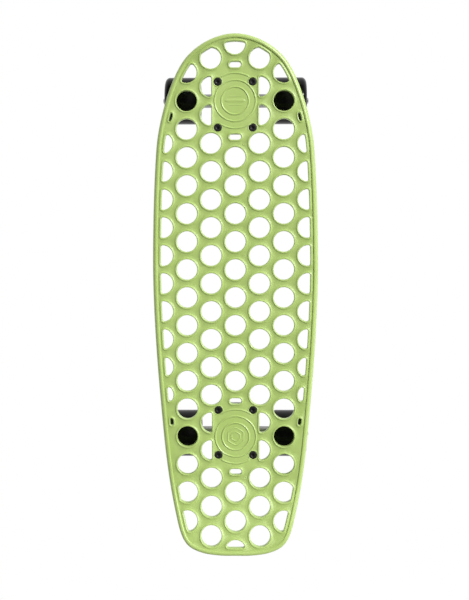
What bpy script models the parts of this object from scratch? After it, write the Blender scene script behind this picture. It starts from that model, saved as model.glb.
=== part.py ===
"""A small plastic cruiser skateboard: a moulded deck pierced by a hexagonal pattern of round holes, two
trucks that steer on rubber bushings, and four wheels on ball bearings.

Metres, +Z up, +Y towards the nose and +X towards the right-hand edge. The origin is on the floor, under the
middle of the board. Each truck is drawn once, in its own frame: the origin is the centre of its bolt pattern
on the underside of the deck, +Y points outboard (to the nose or the tail), and the rear truck is the front
one turned half a turn.
"""

import math

import bmesh
import bpy
from mathutils import Matrix, Vector

GAP = 0.0003  # between pieces that touch

# Deck
WHEEL_RADIUS = 0.0285
AXLE_DROP = 0.046  # from the underside of the deck's pads down to the axle
PAD_THICKNESS = 0.0095
UNDERSIDE_Z = WHEEL_RADIUS + AXLE_DROP
SURFACE_Z = UNDERSIDE_Z + PAD_THICKNESS
LIP_WIDTH = 0.0055
LIP_HEIGHT = 0.0012
PLATE_THICKNESS = 0.005
SKIRT_DEPTH = 0.0105
SKIRT_WIDTH = 0.0045
# Half of the outline, from the nose's tip to the tail's end, as (half width, y)
HALF_OUTLINE = (
    (0.0, 0.3083),
    (0.0300, 0.3014),
    (0.0559, 0.2835),
    (0.0714, 0.2594),
    (0.0860, 0.2170),
    (0.0939, 0.1718),
    (0.0983, 0.0458),
    (0.0958, -0.0442),
    (0.0878, -0.1492),
    (0.0796, -0.2212),
    (0.0692, -0.2707),
    (0.0626, -0.2892),
    (0.0541, -0.2989),
    (0.0386, -0.3054),
    (0.0179, -0.3082),
    (0.0, -0.3084),
)
OUTLINE_STEPS = 3  # straight pieces between two of those points
# Each kick: where it begins, how long its bend is, and the slope after the bend
NOSE_KICK_Y, NOSE_KICK_BEND, NOSE_KICK_SLOPE = 0.2628, 0.024, 0.231
TAIL_KICK_Y, TAIL_KICK_BEND, TAIL_KICK_SLOPE = -0.2112, 0.040, 0.262

# Holes of the deck: a hexagonal lattice whose columns run along the board
LATTICE_PITCH = 0.03325
LATTICE_COLUMN = LATTICE_PITCH * math.sqrt(3) / 2
LATTICE_COLUMNS = range(-3, 4)
LATTICE_ROWS = range(-3, 17)  # counted from LATTICE_Y towards the tail
LATTICE_Y = 0.2299  # a lattice point on the centre line, at the middle of the front pad
HOLE_RADIUS = 0.0123
HOLE_SIDES = 12
FIELD_INSET = 0.0100  # no hole comes closer than this to the outline
SMALLEST_HOLE_AREA = 2.0e-5
PAD_HALF_WIDTH = 0.0282
PAD_HALF_LENGTH = 0.0385
PAD_CENTRES_Y = (LATTICE_Y, LATTICE_Y - 12 * LATTICE_PITCH)
SLOT_LENGTH, SLOT_WIDTH = 0.0140, 0.0068
SLOT_FROM_PAD_CENTRE = 0.0425
SLOT_ROUND_TURNS = (-60, -20, 20, 60)  # degrees, the corners of each round end
BEYOND_DECK = (0.2, 0.4)  # half sides of a rectangle that clears the deck all round
HIGHEST_KICK = 0.04  # above the deck's surface, clear of both ends

# Truck mounting
BOLT_SPACING_X, BOLT_SPACING_Y = 0.041275, 0.053975
PATTERN_FROM_PAD_CENTRE = 0.0047  # the bolt pattern sits this much inboard of the pad's centre
SCREW_HEAD_RADIUS, SCREW_HEAD_HEIGHT = 0.0046, 0.0022
SCREW_SHANK_RADIUS = 0.0024
SCREW_SOCKET_RADIUS = 0.0019
SCREW_PAST_NUT = 0.0025  # how far the screw's end stands out of its nut
DRILL_OVERRUN = 0.003  # how far a drill goes past what it cuts
SCREW_SIDES = 12
LOCK_NUT_HEIGHT, LOCK_NUT_RADIUS = 0.0050, 0.0055

# Truck, in its own frame
AXLE_AT = Vector((0.0, 0.0100, -AXLE_DROP))
RING_AT = Vector((0.0, -0.0130, -0.0290))  # the middle of the hanger's ring, on the kingpin
PIVOT_AT = Vector((0.0, 0.0220, -0.0100))
KINGPIN_LEAN = math.radians(12)  # its nut leans outboard
STEER_AXIS = (PIVOT_AT - RING_AT).normalized()
KINGPIN_AXIS = Vector((0.0, -math.sin(KINGPIN_LEAN), math.cos(KINGPIN_LEAN)))  # up, towards the deck
PLATE_HEIGHT = 0.0055
PLATE_HALF_WIDTH = 0.0270
PLATE_INBOARD, PLATE_OUTBOARD = -0.0345, 0.0410
RING_HALF_THICKNESS = 0.0030
BUSHING_RADIUS = 0.0120
UPPER_BUSHING_HEIGHT, LOWER_BUSHING_HEIGHT = 0.0116, 0.0100
CUP_WASHER_THICKNESS = 0.0015
KINGPIN_RADIUS = 0.0040
KINGPIN_BORE = KINGPIN_RADIUS + GAP
HANGER_HALF_LENGTH = 0.0516
AXLE_RADIUS = 0.00385
AXLE_HALF_LENGTH = 0.0888

# Wheels and bearings, along the axle from the middle of the wheel
WHEEL_HALF_WIDTH = 0.02175
WHEEL_SIDES = 24
BEARING_RADIUS, BEARING_WIDTH = 0.0110, 0.0070
BEARING_BORE = AXLE_RADIUS + GAP
SPACER_LENGTH = 0.0100
SPEED_WASHER = 0.0010
WHEEL_X = HANGER_HALF_LENGTH + SPEED_WASHER + BEARING_WIDTH + SPACER_LENGTH / 2
AXLE_NUT_HEIGHT, AXLE_NUT_RADIUS = 0.0064, 0.0074

GREEN = (0.44, 0.59, 0.19)
BLACK = (0.012, 0.012, 0.013)
DARK = (0.02, 0.02, 0.022)
CAST = (0.42, 0.42, 0.40)
STEEL = (0.60, 0.60, 0.61)


def clear_scene():
    for item in list(bpy.data.objects):
        bpy.data.objects.remove(item, do_unlink=True)


def material(name, colour, roughness, metallic):
    made = bpy.data.materials.new(name)
    made.use_nodes = True
    shader = made.node_tree.nodes["Principled BSDF"]
    shader.inputs["Base Color"].default_value = (*colour, 1.0)
    shader.inputs["Roughness"].default_value = roughness
    shader.inputs["Metallic"].default_value = metallic
    return made


# ---- Meshes ---------------------------------------------------------------------------------------------


def place(name, mesh, look, matrix):
    """An object whose mesh is in the matrix's frame."""
    made = bpy.data.objects.new(name, mesh)
    bpy.context.scene.collection.objects.link(made)
    made.matrix_world = matrix
    if look:
        mesh.materials.append(look)
    return made


def finished(shape, name, smooth=True):
    """The bmesh as a mesh with outward normals and round faces shaded smooth."""
    bmesh.ops.recalc_face_normals(shape, faces=shape.faces)
    mesh = bpy.data.meshes.new(name)
    shape.to_mesh(mesh)
    shape.free()
    if smooth:
        mesh.shade_smooth()
        mesh.set_sharp_from_angle(angle=math.radians(35))
    return mesh


def turned(name, profile, sides, flats_at_radius=False):
    """A solid of revolution about Z.

    The profile is (radius, z) points: a closed loop for a piece with a bore, or a run from the axis back to
    the axis for one without. The corners lie at the radius, unless flats_at_radius puts the flats there.
    """
    if flats_at_radius:
        profile = [(radius / math.cos(math.pi / sides), z) for radius, z in profile]
    shape = bmesh.new()
    rings = []
    for radius, z in profile:
        if radius == 0:
            rings.append([shape.verts.new((0, 0, z))])
            continue
        angles = (math.tau * (k + 0.5) / sides for k in range(sides))
        rings.append(
            [shape.verts.new((radius * math.cos(angle), radius * math.sin(angle), z)) for angle in angles]
        )
    has_bore = profile[0][0] > 0
    pairs = list(zip(rings, rings[1:]))
    if has_bore:
        pairs.append((rings[-1], rings[0]))
    for first, second in pairs:
        for k in range(sides):
            corners = [first[k % len(first)], first[(k + 1) % len(first)]]
            corners += [second[(k + 1) % len(second)], second[k % len(second)]]
            shape.faces.new(list(dict.fromkeys(corners)))
    return finished(shape, name)


def prism(name, outlines, bottom, top):
    """Upright prisms on one or more flat outlines of (x, y) points."""
    shape = bmesh.new()
    for outline in outlines:
        low = [shape.verts.new((x, y, bottom)) for x, y in outline]
        high = [shape.verts.new((x, y, top)) for x, y in outline]
        shape.faces.new(low)
        shape.faces.new(high)
        for k in range(len(outline)):
            after = (k + 1) % len(outline)
            shape.faces.new((low[k], low[after], high[after], high[k]))
    return finished(shape, name, smooth=False)


def cutter(name, mesh, matrix):
    made = place(name, mesh, None, matrix)
    made.hide_render = True
    made.display_type = "WIRE"
    return made


def boolean(target, other, operation):
    step = target.modifiers.new(other.name, "BOOLEAN")
    step.operation = operation
    step.solver = "EXACT"
    step.object = other


def along(direction, at):
    """A frame at a point, with its Z along a direction."""
    return Matrix.Translation(at) @ direction.to_track_quat("Z", "Y").to_matrix().to_4x4()


def pipe(bore, radius, low, high):
    return ((bore, low), (radius, low), (radius, high), (bore, high))


def rod(radius, low, high):
    return ((0, low), (radius, low), (radius, high), (0, high))


# ---- Deck -----------------------------------------------------------------------------------------------


def kick(y):
    """How far the deck rises at y: flat in the middle, then a bend, then a straight slope to each end."""
    for start, bend, slope, way in (
        (NOSE_KICK_Y, NOSE_KICK_BEND, NOSE_KICK_SLOPE, 1),
        (TAIL_KICK_Y, TAIL_KICK_BEND, TAIL_KICK_SLOPE, -1),
    ):
        past = (y - start) * way
        if past > bend:
            return slope * (past - bend / 2)
        if past > 0:
            return slope * past * past / (2 * bend)
    return 0.0


def smooth_half_outline():
    """The right-hand half of the outline, on a Catmull-Rom curve through its points."""
    mirrored = [(-HALF_OUTLINE[1][0], HALF_OUTLINE[1][1])]
    mirrored += HALF_OUTLINE
    mirrored += [(-HALF_OUTLINE[-2][0], HALF_OUTLINE[-2][1])]
    points = [Vector(point) for point in mirrored]
    curve = []
    for before, start, end, after in zip(points, points[1:], points[2:], points[3:]):
        span = (end - start).length
        leave = (end - before) * span / ((start - before).length + span)
        arrive = (after - start) * span / ((after - end).length + span)
        for step in range(OUTLINE_STEPS):
            share = step / OUTLINE_STEPS
            rest = 1 - share
            curve.append(
                start * (rest * rest * (1 + 2 * share))
                + end * (share * share * (1 + 2 * rest))
                + leave * (share * rest * rest)
                - arrive * (share * share * rest)
            )
    return curve + [points[-2]]


def inset_half(half, distance):
    """The half outline moved inwards, with its ends kept on the centre line."""
    moved = []
    for k, point in enumerate(half):
        before = half[k - 1] if k else Vector((-half[1].x, half[1].y))
        after = half[k + 1] if k + 1 < len(half) else Vector((-half[-2].x, half[-2].y))
        run = (after - before).normalized()
        moved.append(point + distance * Vector((run.y, -run.x)))
    moved[0].x = moved[-1].x = 0.0
    return moved


def whole(half):
    """The closed outline, anticlockwise: up the right-hand side and down the left."""
    right = [(point.x, point.y) for point in reversed(half)]
    left = [(-point.x, point.y) for point in half[1:-1]]
    return right + left


def bent_slab(name, half, top, bottom):
    """A slab on the outline whose faces follow the kicks, at two heights above the deck's surface."""
    shape = bmesh.new()
    rows = []
    for point in half:
        rise = SURFACE_Z + kick(point.y)
        sides = (0,) if point.x == 0 else (-1, 1)
        levels = [rise + top, rise + bottom]
        rows.append([[shape.verts.new((side * point.x, point.y, z)) for side in sides] for z in levels])
    for upper, lower in zip(rows, rows[1:]):
        for level in (0, 1):
            shape.faces.new(list(dict.fromkeys([*upper[level], *reversed(lower[level])])))
        for side in (0, -1):
            near, far = upper[0][side], lower[0][side]
            shape.faces.new((near, far, lower[1][side], upper[1][side]))
    return finished(shape, name, smooth=False)


def clipped(outline, keep):
    """The part of a convex outline where keep(point), a linear function, is positive."""
    result = []
    for k, point in enumerate(outline):
        previous = outline[k - 1]
        here, there = keep(point), keep(previous)
        if (here > 0) != (there > 0):
            share = there / (there - here)
            result.append(tuple(p + share * (q - p) for p, q in zip(previous, point)))
        if here > 0:
            result.append(point)
    return result


def area(outline):
    sides = zip(outline, outline[1:] + outline[:1])
    return sum(start[0] * end[1] - end[0] * start[1] for start, end in sides) / 2


def left_of(start, end):
    """A test that is positive on the left of a line from start to end."""
    run_x, run_y = end[0] - start[0], end[1] - start[1]

    def keep(point):
        return run_x * (point[1] - start[1]) - run_y * (point[0] - start[0])

    return keep


def lattice_hole(x, y, field):
    """One hole of the pattern: a circle, cut off straight by the field's edge or by the side of a pad."""
    angles = (math.tau * (k + 0.5) / HOLE_SIDES for k in range(HOLE_SIDES))
    hole = [(x + HOLE_RADIUS * math.cos(angle), y + HOLE_RADIUS * math.sin(angle)) for angle in angles]
    for start, end in zip(field, field[1:] + field[:1]):
        hole = clipped(hole, left_of(start, end))
    for pad_y in PAD_CENTRES_Y:
        if abs(y - pad_y) < PAD_HALF_LENGTH and x:
            edge = math.copysign(PAD_HALF_WIDTH, x)
            hole = clipped(hole, left_of((edge, math.copysign(1, x)), (edge, -math.copysign(1, x))))
    return hole


def lattice_holes(field):
    holes = []
    for column in LATTICE_COLUMNS:
        x = column * LATTICE_COLUMN
        for row in LATTICE_ROWS:
            y = LATTICE_Y - LATTICE_PITCH * (row + (column % 2) / 2)
            if column == 0 and min(abs(y - pad_y) for pad_y in PAD_CENTRES_Y) < PAD_HALF_LENGTH:
                continue
            hole = lattice_hole(x, y, field)
            if len(hole) > 2 and area(hole) > SMALLEST_HOLE_AREA:
                holes.append(hole)
    return holes


def slot(x, y):
    """An oblong hole with round ends, across the board."""
    radius = SLOT_WIDTH / 2
    outline = []
    for side in (1, -1):
        for turn in SLOT_ROUND_TURNS:
            angle = math.radians(turn)
            reach = SLOT_LENGTH / 2 - radius + radius * math.cos(angle)
            rise = radius * math.sin(angle) / math.sin(math.radians(SLOT_ROUND_TURNS[-1]))
            outline.append((x + side * reach, y + side * rise))
    return outline


def truck_frames():
    frames = {}
    for end, pad_y, way in (("front", PAD_CENTRES_Y[0], 1), ("rear", PAD_CENTRES_Y[1], -1)):
        at = Vector((0, pad_y - way * PATTERN_FROM_PAD_CENTRE, UNDERSIDE_Z))
        turn = Matrix.Rotation(0 if way == 1 else math.pi, 4, "Z")
        frames[end] = Matrix.Translation(at) @ turn
    return frames


def bolt_places():
    return [(x * BOLT_SPACING_X / 2, y * BOLT_SPACING_Y / 2) for y in (1, -1) for x in (-1, 1)]


def rectangle(half_width, half_length, middle_y=0.0):
    """The corners of an upright rectangle centred on the board's middle line, anticlockwise."""
    low, high = middle_y - half_length, middle_y + half_length
    return [(-half_width, low), (half_width, low), (half_width, high), (-half_width, high)]


def make_deck(look, frames):
    half = smooth_half_outline()
    deck = place("deck", bent_slab("deck", half, LIP_HEIGHT, LIP_HEIGHT - SKIRT_DEPTH), look, Matrix())
    recess = bent_slab("surface_recess", inset_half(half, LIP_WIDTH), LIP_HEIGHT * 2, 0)
    boolean(deck, cutter("surface_recess", recess, Matrix()), "DIFFERENCE")

    hollow = cutter(
        "underside_hollow",
        bent_slab("underside_hollow", inset_half(half, SKIRT_WIDTH), -PLATE_THICKNESS, -2 * SKIRT_DEPTH),
        Matrix(),
    )
    for number, pad_y in enumerate(PAD_CENTRES_Y):
        block = prism(
            "pad_block",
            [rectangle(PAD_HALF_WIDTH, PAD_HALF_LENGTH, pad_y)],
            UNDERSIDE_Z - 4 * SKIRT_DEPTH,
            SURFACE_Z,
        )
        boolean(hollow, cutter(f"pad_block_{number}", block, Matrix()), "DIFFERENCE")
    boolean(deck, hollow, "DIFFERENCE")
    below_pads = prism(
        "below_pads", [rectangle(*BEYOND_DECK)], UNDERSIDE_Z - 2 * SKIRT_DEPTH, UNDERSIDE_Z
    )
    boolean(deck, cutter("below_pads", below_pads, Matrix()), "DIFFERENCE")

    field = whole(inset_half(half, FIELD_INSET))
    holes = lattice_holes(field)
    for pad_y in PAD_CENTRES_Y:
        holes += [slot(0, pad_y + side * SLOT_FROM_PAD_CENTRE) for side in (1, -1)]
    punch = prism("deck_holes", holes, UNDERSIDE_Z - 2 * SKIRT_DEPTH, SURFACE_Z + HIGHEST_KICK)
    boolean(deck, cutter("deck_holes", punch, Matrix()), "DIFFERENCE")

    bore = SCREW_SHANK_RADIUS + GAP
    sunk = SCREW_HEAD_RADIUS + 2 * GAP
    drill_end = -PAD_THICKNESS - DRILL_OVERRUN
    drill = (
        (0, drill_end),
        (bore, drill_end),
        (bore, -SCREW_HEAD_HEIGHT - 2 * GAP),
        (sunk, 0),
        (sunk, LIP_HEIGHT),
        (0, LIP_HEIGHT),
    )
    drill_mesh = turned("drill", drill, SCREW_SIDES)
    for end, frame in frames.items():
        for number, (x, y) in enumerate(bolt_places(), start=1):
            at = frame @ Matrix.Translation((x, y, PAD_THICKNESS))
            boolean(deck, cutter(f"{end}_drill_{number}", drill_mesh, at), "DIFFERENCE")
    return deck


# ---- Fasteners ------------------------------------------------------------------------------------------


def screw_mesh():
    """A countersunk screw with a socket, from the deck's surface down."""
    shank_end = -(PAD_THICKNESS + PLATE_HEIGHT + LOCK_NUT_HEIGHT + SCREW_PAST_NUT)
    profile = (
        (0, shank_end),
        (SCREW_SHANK_RADIUS, shank_end),
        (SCREW_SHANK_RADIUS, -SCREW_HEAD_HEIGHT - GAP),
        (SCREW_HEAD_RADIUS, -GAP),
        (SCREW_SOCKET_RADIUS, -GAP),
        (SCREW_SOCKET_RADIUS, -SCREW_HEAD_HEIGHT),
        (0, -SCREW_HEAD_HEIGHT),
    )
    return turned("deck_screw", profile, SCREW_SIDES)


def nut_mesh(name, bore, radius, height):
    """A hexagon nut with its bottom face at the origin.

    Its outer rings have a point at each corner of the hexagon and one in the middle of each flat.
    """
    shape = bmesh.new()
    sides = 12
    flat = radius * math.cos(math.pi / 6)
    inner, outer = (bore, bore), (radius, flat)
    rings = []
    for z, reaches in ((0, inner), (0, outer), (height, outer), (height, inner)):
        ring = []
        for k in range(sides):
            angle = math.tau * k / sides
            reach = reaches[k % 2]
            ring.append(shape.verts.new((reach * math.cos(angle), reach * math.sin(angle), z)))
        rings.append(ring)
    for first, second in zip(rings, rings[1:] + rings[:1]):
        for k in range(sides):
            after = (k + 1) % sides
            shape.faces.new((first[k], first[after], second[after], second[k]))
    return finished(shape, name)


def make_mounting_hardware(end, frame, look):
    screw = screw_mesh()
    nut = nut_mesh("lock_nut", SCREW_SHANK_RADIUS + GAP, LOCK_NUT_RADIUS, LOCK_NUT_HEIGHT)
    nut_top = -(GAP + PLATE_HEIGHT + GAP)
    for number, (x, y) in enumerate(bolt_places(), start=1):
        place(f"{end}_deck_screw_{number}", screw, look, frame @ Matrix.Translation((x, y, PAD_THICKNESS)))
        at = frame @ Matrix.Translation((x, y, nut_top - LOCK_NUT_HEIGHT))
        place(f"{end}_lock_nut_{number}", nut, look, at)


# ---- Truck: pieces that stay with the deck --------------------------------------------------------------

# Distances along the kingpin from the middle of the ring, positive towards the deck
UPPER_BUSHING_LOW = RING_HALF_THICKNESS + GAP
UPPER_BUSHING_HIGH = UPPER_BUSHING_LOW + UPPER_BUSHING_HEIGHT
UPPER_WASHER_LOW = UPPER_BUSHING_HIGH + GAP
SEAT = UPPER_WASHER_LOW + CUP_WASHER_THICKNESS + GAP
HEAD_LOW = SEAT + 0.0050
HEAD_HEIGHT, HEAD_RADIUS = 0.0045, 0.0070
LOWER_BUSHING_LOW = -(RING_HALF_THICKNESS + GAP + LOWER_BUSHING_HEIGHT)
LOWER_WASHER_LOW = LOWER_BUSHING_LOW - GAP - CUP_WASHER_THICKNESS
KINGPIN_NUT_HEIGHT, KINGPIN_NUT_RADIUS = 0.0065, 0.0074
KINGPIN_NUT_LOW = LOWER_WASHER_LOW - GAP - KINGPIN_NUT_HEIGHT
KINGPIN_END = KINGPIN_NUT_LOW - 0.0022
UPPER_WASHER_RADIUS, LOWER_WASHER_RADIUS = 0.0118, 0.0100
CONE_FOOT_RADIUS = 0.0098  # of the lower bushing
CONE_RIM_HEIGHT = 0.0030

# Distances along the steering axis from the middle of the ring, positive towards the pivot
CUP_MOUTH = 0.0335
CUP_FLOOR = 0.0442
CUP_WALL = 0.0021
CUP_SOCKET_END = CUP_FLOOR + CUP_WALL + GAP
PIVOT_ROD_START = 0.0165
PIVOT_ROD_RADIUS = 0.0052
PIVOT_ROD_END = CUP_FLOOR - GAP

# Baseplate casting
PLATE_CORNER_CUT = 0.006
KINGPIN_BOSS_RADIUS, PIVOT_BOSS_RADIUS = 0.0135, 0.0110
PIVOT_BOSS_CAP = 0.0035  # metal behind the pivot cup
HEAD_RECESS_RADIUS = HEAD_RADIUS + 0.0004
BEYOND_PLATE = 0.05  # a distance that clears the plate all round

# Hanger casting
BAR_PROFILE = ((0.0088, 0.0120), (0.0082, 0.0440), (0.0076, HANGER_HALF_LENGTH))  # (radius, distance out)
RING_RADIUS, RING_CLEARANCE_RADIUS = 0.0140, 0.0070
GUSSET_HALF_THICKNESS, WING_HALF_THICKNESS = 0.0068, 0.0026
GUSSET = (
    (-0.0002, -0.0272),
    (0.0030, -0.0205),
    (0.0120, -0.0156),
    (0.0150, -0.0220),
    (0.0172, -0.0420),
    (0.0045, -0.0410),
    (0.0034, -0.0315),
)
WING = ((-0.0072, -0.0165), (0.0072, -0.0165), (0.0400, -0.0432), (-0.0400, -0.0432))

# Axle and its fasteners
AXLE_CHAMFER = 0.0008
AXLE_WASHER_RADIUS = 0.0065


def baseplate(end, frame, look):
    """The cast plate under the deck, with a boss for the kingpin and one for the pivot cup."""
    wide, cut = PLATE_HALF_WIDTH, PLATE_CORNER_CUT
    low, high = PLATE_INBOARD, PLATE_OUTBOARD
    corners = [(-wide + cut, low), (wide - cut, low), (wide, low + cut), (wide, high - cut)]
    corners += [(wide - cut, high), (-wide + cut, high), (-wide, high - cut), (-wide, low + cut)]
    slab = prism("baseplate", [corners], -GAP - PLATE_HEIGHT, -GAP)
    plate = place(f"{end}_baseplate", slab, look, frame)
    on_kingpin = frame @ along(KINGPIN_AXIS, RING_AT)
    on_pivot = frame @ along(STEER_AXIS, RING_AT)
    boss = turned("kingpin_boss", rod(KINGPIN_BOSS_RADIUS, SEAT, BEYOND_PLATE), 16)
    boolean(plate, cutter(f"{end}_kingpin_boss", boss, on_kingpin), "UNION")
    boss = turned("pivot_boss", rod(PIVOT_BOSS_RADIUS, CUP_MOUTH - GAP, CUP_SOCKET_END + PIVOT_BOSS_CAP), 16)
    boolean(plate, cutter(f"{end}_pivot_boss", boss, on_pivot), "UNION")
    deck_side = prism("deck_side", [rectangle(2 * BEYOND_PLATE, 2 * BEYOND_PLATE)], -GAP, BEYOND_PLATE)
    boolean(plate, cutter(f"{end}_deck_side", deck_side, frame), "DIFFERENCE")
    bore = (
        (0, UPPER_BUSHING_LOW),
        (KINGPIN_BORE, UPPER_BUSHING_LOW),
        (KINGPIN_BORE, HEAD_LOW - GAP),
        (HEAD_RECESS_RADIUS, HEAD_LOW - GAP),
        (HEAD_RECESS_RADIUS, BEYOND_PLATE),
        (0, BEYOND_PLATE),
    )
    boolean(plate, cutter(f"{end}_kingpin_bore", turned("kingpin_bore", bore, 12), on_kingpin), "DIFFERENCE")
    socket_radius = PIVOT_ROD_RADIUS + CUP_WALL + 3 * GAP
    socket = turned("cup_socket", rod(socket_radius, CUP_MOUTH - 2 * CUP_WALL, CUP_SOCKET_END), 16)
    boolean(plate, cutter(f"{end}_cup_socket", socket, on_pivot), "DIFFERENCE")
    drill_end = -PLATE_HEIGHT - 2 * DRILL_OVERRUN
    drill = turned("bolt_hole", rod(SCREW_SHANK_RADIUS + GAP, drill_end, DRILL_OVERRUN), 10)
    for number, (x, y) in enumerate(bolt_places(), start=1):
        at = frame @ Matrix.Translation((x, y, 0))
        boolean(plate, cutter(f"{end}_bolt_hole_{number}", drill, at), "DIFFERENCE")


def kingpin_stack(end, frame, looks):
    """Kingpin, nut, two cup washers and two bushings, all turned about the kingpin's axis."""
    on_axis = frame @ along(KINGPIN_AXIS, RING_AT)
    head_high = HEAD_LOW + HEAD_HEIGHT
    pin = (
        (0, KINGPIN_END),
        (KINGPIN_RADIUS, KINGPIN_END),
        (KINGPIN_RADIUS, HEAD_LOW),
        (HEAD_RADIUS, HEAD_LOW),
        (HEAD_RADIUS, head_high),
        (0, head_high),
    )
    place(f"{end}_kingpin", turned("kingpin", pin, 12), looks["steel"], on_axis)
    nut = nut_mesh("kingpin_nut", KINGPIN_BORE, KINGPIN_NUT_RADIUS, KINGPIN_NUT_HEIGHT)
    place(f"{end}_kingpin_nut", nut, looks["steel"], on_axis @ Matrix.Translation((0, 0, KINGPIN_NUT_LOW)))
    for name, radius, low in (
        ("upper_cup_washer", UPPER_WASHER_RADIUS, UPPER_WASHER_LOW),
        ("lower_cup_washer", LOWER_WASHER_RADIUS, LOWER_WASHER_LOW),
    ):
        washer = turned(name, pipe(KINGPIN_BORE, radius, low, low + CUP_WASHER_THICKNESS), 16)
        place(f"{end}_{name}", washer, looks["steel"], on_axis)
    barrel = pipe(KINGPIN_BORE, BUSHING_RADIUS, UPPER_BUSHING_LOW, UPPER_BUSHING_HIGH)
    place(f"{end}_upper_bushing", turned("upper_bushing", barrel, 16), looks["rubber"], on_axis)
    top = LOWER_BUSHING_LOW + LOWER_BUSHING_HEIGHT
    cone = (
        (KINGPIN_BORE, LOWER_BUSHING_LOW),
        (CONE_FOOT_RADIUS, LOWER_BUSHING_LOW),
        (BUSHING_RADIUS, top - CONE_RIM_HEIGHT),
        (BUSHING_RADIUS, top),
        (KINGPIN_BORE, top),
    )
    place(f"{end}_lower_bushing", turned("lower_bushing", cone, 16), looks["rubber"], on_axis)


def pivot_cup(end, frame, look):
    """The plastic cup in the baseplate that the hanger's pivot rod turns in."""
    inner = PIVOT_ROD_RADIUS + GAP
    outer = inner + CUP_WALL
    profile = (
        (0, CUP_FLOOR),
        (inner, CUP_FLOOR),
        (inner, CUP_MOUTH),
        (outer, CUP_MOUTH),
        (outer, CUP_FLOOR + CUP_WALL),
        (0, CUP_FLOOR + CUP_WALL),
    )
    place(f"{end}_pivot_cup", turned("pivot_cup", profile, 16), look, frame @ along(STEER_AXIS, RING_AT))


# ---- Truck: pieces that steer ---------------------------------------------------------------------------


def upright_plate(name, corners, half_thickness, across=None):
    """A flat upright plate.

    Its corners are (y, z) and its thickness along X, or with across given, they are (x, z) and its thickness
    along Y on both sides of that place.
    """
    shape = bmesh.new()
    faces = []
    for depth in (-half_thickness, half_thickness):
        if across is None:
            faces.append([shape.verts.new((depth, y, z)) for y, z in corners])
        else:
            faces.append([shape.verts.new((x, across + depth, z)) for x, z in corners])
    shape.faces.new(faces[0])
    shape.faces.new(faces[1])
    for k in range(len(corners)):
        after = (k + 1) % len(corners)
        shape.faces.new((faces[0][k], faces[0][after], faces[1][after], faces[1][k]))
    return finished(shape, name, smooth=False)


def hanger(end, frame, look):
    """The cast arm: a bar round the axle, a ring round the kingpin, a pivot rod and webs between them."""
    on_axle = frame @ along(Vector((1, 0, 0)), AXLE_AT)
    on_kingpin = frame @ along(KINGPIN_AXIS, RING_AT)
    on_pivot = frame @ along(STEER_AXIS, RING_AT)
    profile = [(0, -HANGER_HALF_LENGTH)]
    profile += [(radius, -distance) for radius, distance in reversed(BAR_PROFILE)]
    profile += BAR_PROFILE
    profile.append((0, HANGER_HALF_LENGTH))
    bar = place(f"{end}_hanger", turned("hanger", profile, 18), look, on_axle)
    ring = turned("ring", rod(RING_RADIUS, -RING_HALF_THICKNESS, RING_HALF_THICKNESS), 20)
    boolean(bar, cutter(f"{end}_ring", ring, on_kingpin), "UNION")
    arm = (
        (0, PIVOT_ROD_START),
        (PIVOT_ROD_RADIUS, PIVOT_ROD_START),
        (PIVOT_ROD_RADIUS, PIVOT_ROD_END - 0.0025),
        (PIVOT_ROD_RADIUS - 0.0018, PIVOT_ROD_END - 0.0006),
        (0, PIVOT_ROD_END),
    )
    boolean(bar, cutter(f"{end}_pivot_rod", turned("pivot_rod", arm, 16), on_pivot), "UNION")
    web = upright_plate("gusset", GUSSET, GUSSET_HALF_THICKNESS)
    boolean(bar, cutter(f"{end}_gusset", web, frame), "UNION")
    web = upright_plate("wing", WING, WING_HALF_THICKNESS, AXLE_AT.y)
    boolean(bar, cutter(f"{end}_wing", web, frame), "UNION")
    clear = turned("kingpin_clearance", rod(RING_CLEARANCE_RADIUS, -RING_RADIUS, RING_RADIUS), 16)
    boolean(bar, cutter(f"{end}_kingpin_clearance", clear, on_kingpin), "DIFFERENCE")
    bore = turned("axle_bore", rod(AXLE_RADIUS + GAP, -AXLE_HALF_LENGTH, AXLE_HALF_LENGTH), 12)
    boolean(bar, cutter(f"{end}_axle_bore", bore, on_axle), "DIFFERENCE")
    return bar


def axle(end, frame, look):
    profile = (
        (0, -AXLE_HALF_LENGTH),
        (AXLE_RADIUS - AXLE_CHAMFER, -AXLE_HALF_LENGTH),
        (AXLE_RADIUS, -AXLE_HALF_LENGTH + AXLE_CHAMFER),
        (AXLE_RADIUS, AXLE_HALF_LENGTH - AXLE_CHAMFER),
        (AXLE_RADIUS - AXLE_CHAMFER, AXLE_HALF_LENGTH),
        (0, AXLE_HALF_LENGTH),
    )
    return place(f"{end}_axle", turned("axle", profile, 12), look, frame @ along(Vector((1, 0, 0)), AXLE_AT))


# ---- Wheels ---------------------------------------------------------------------------------------------

BEARING_SEAT = BEARING_RADIUS + GAP
BEARING_LIP = 0.0092  # the wheel's inner radius between its two bearings
BEARING_SIDES = 18
BEARING_MIDDLE = (SPACER_LENGTH + BEARING_WIDTH) / 2  # from the middle of the wheel
DISH_RADIUS, DISH_DEPTH = 0.0135, 0.0035
FACE_RADIUS = 0.0175  # the flat ring of each face begins here
SHOULDER_REACH, SHOULDER_DEPTH = 0.0080, 0.0060
SHOULDER_TURNS = (0, 35, 65, 90)  # degrees, the corners of the rounded shoulder
WASHER_AT = SPACER_LENGTH / 2 + BEARING_WIDTH + GAP
NUT_AT = WASHER_AT + SPEED_WASHER + GAP


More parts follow.
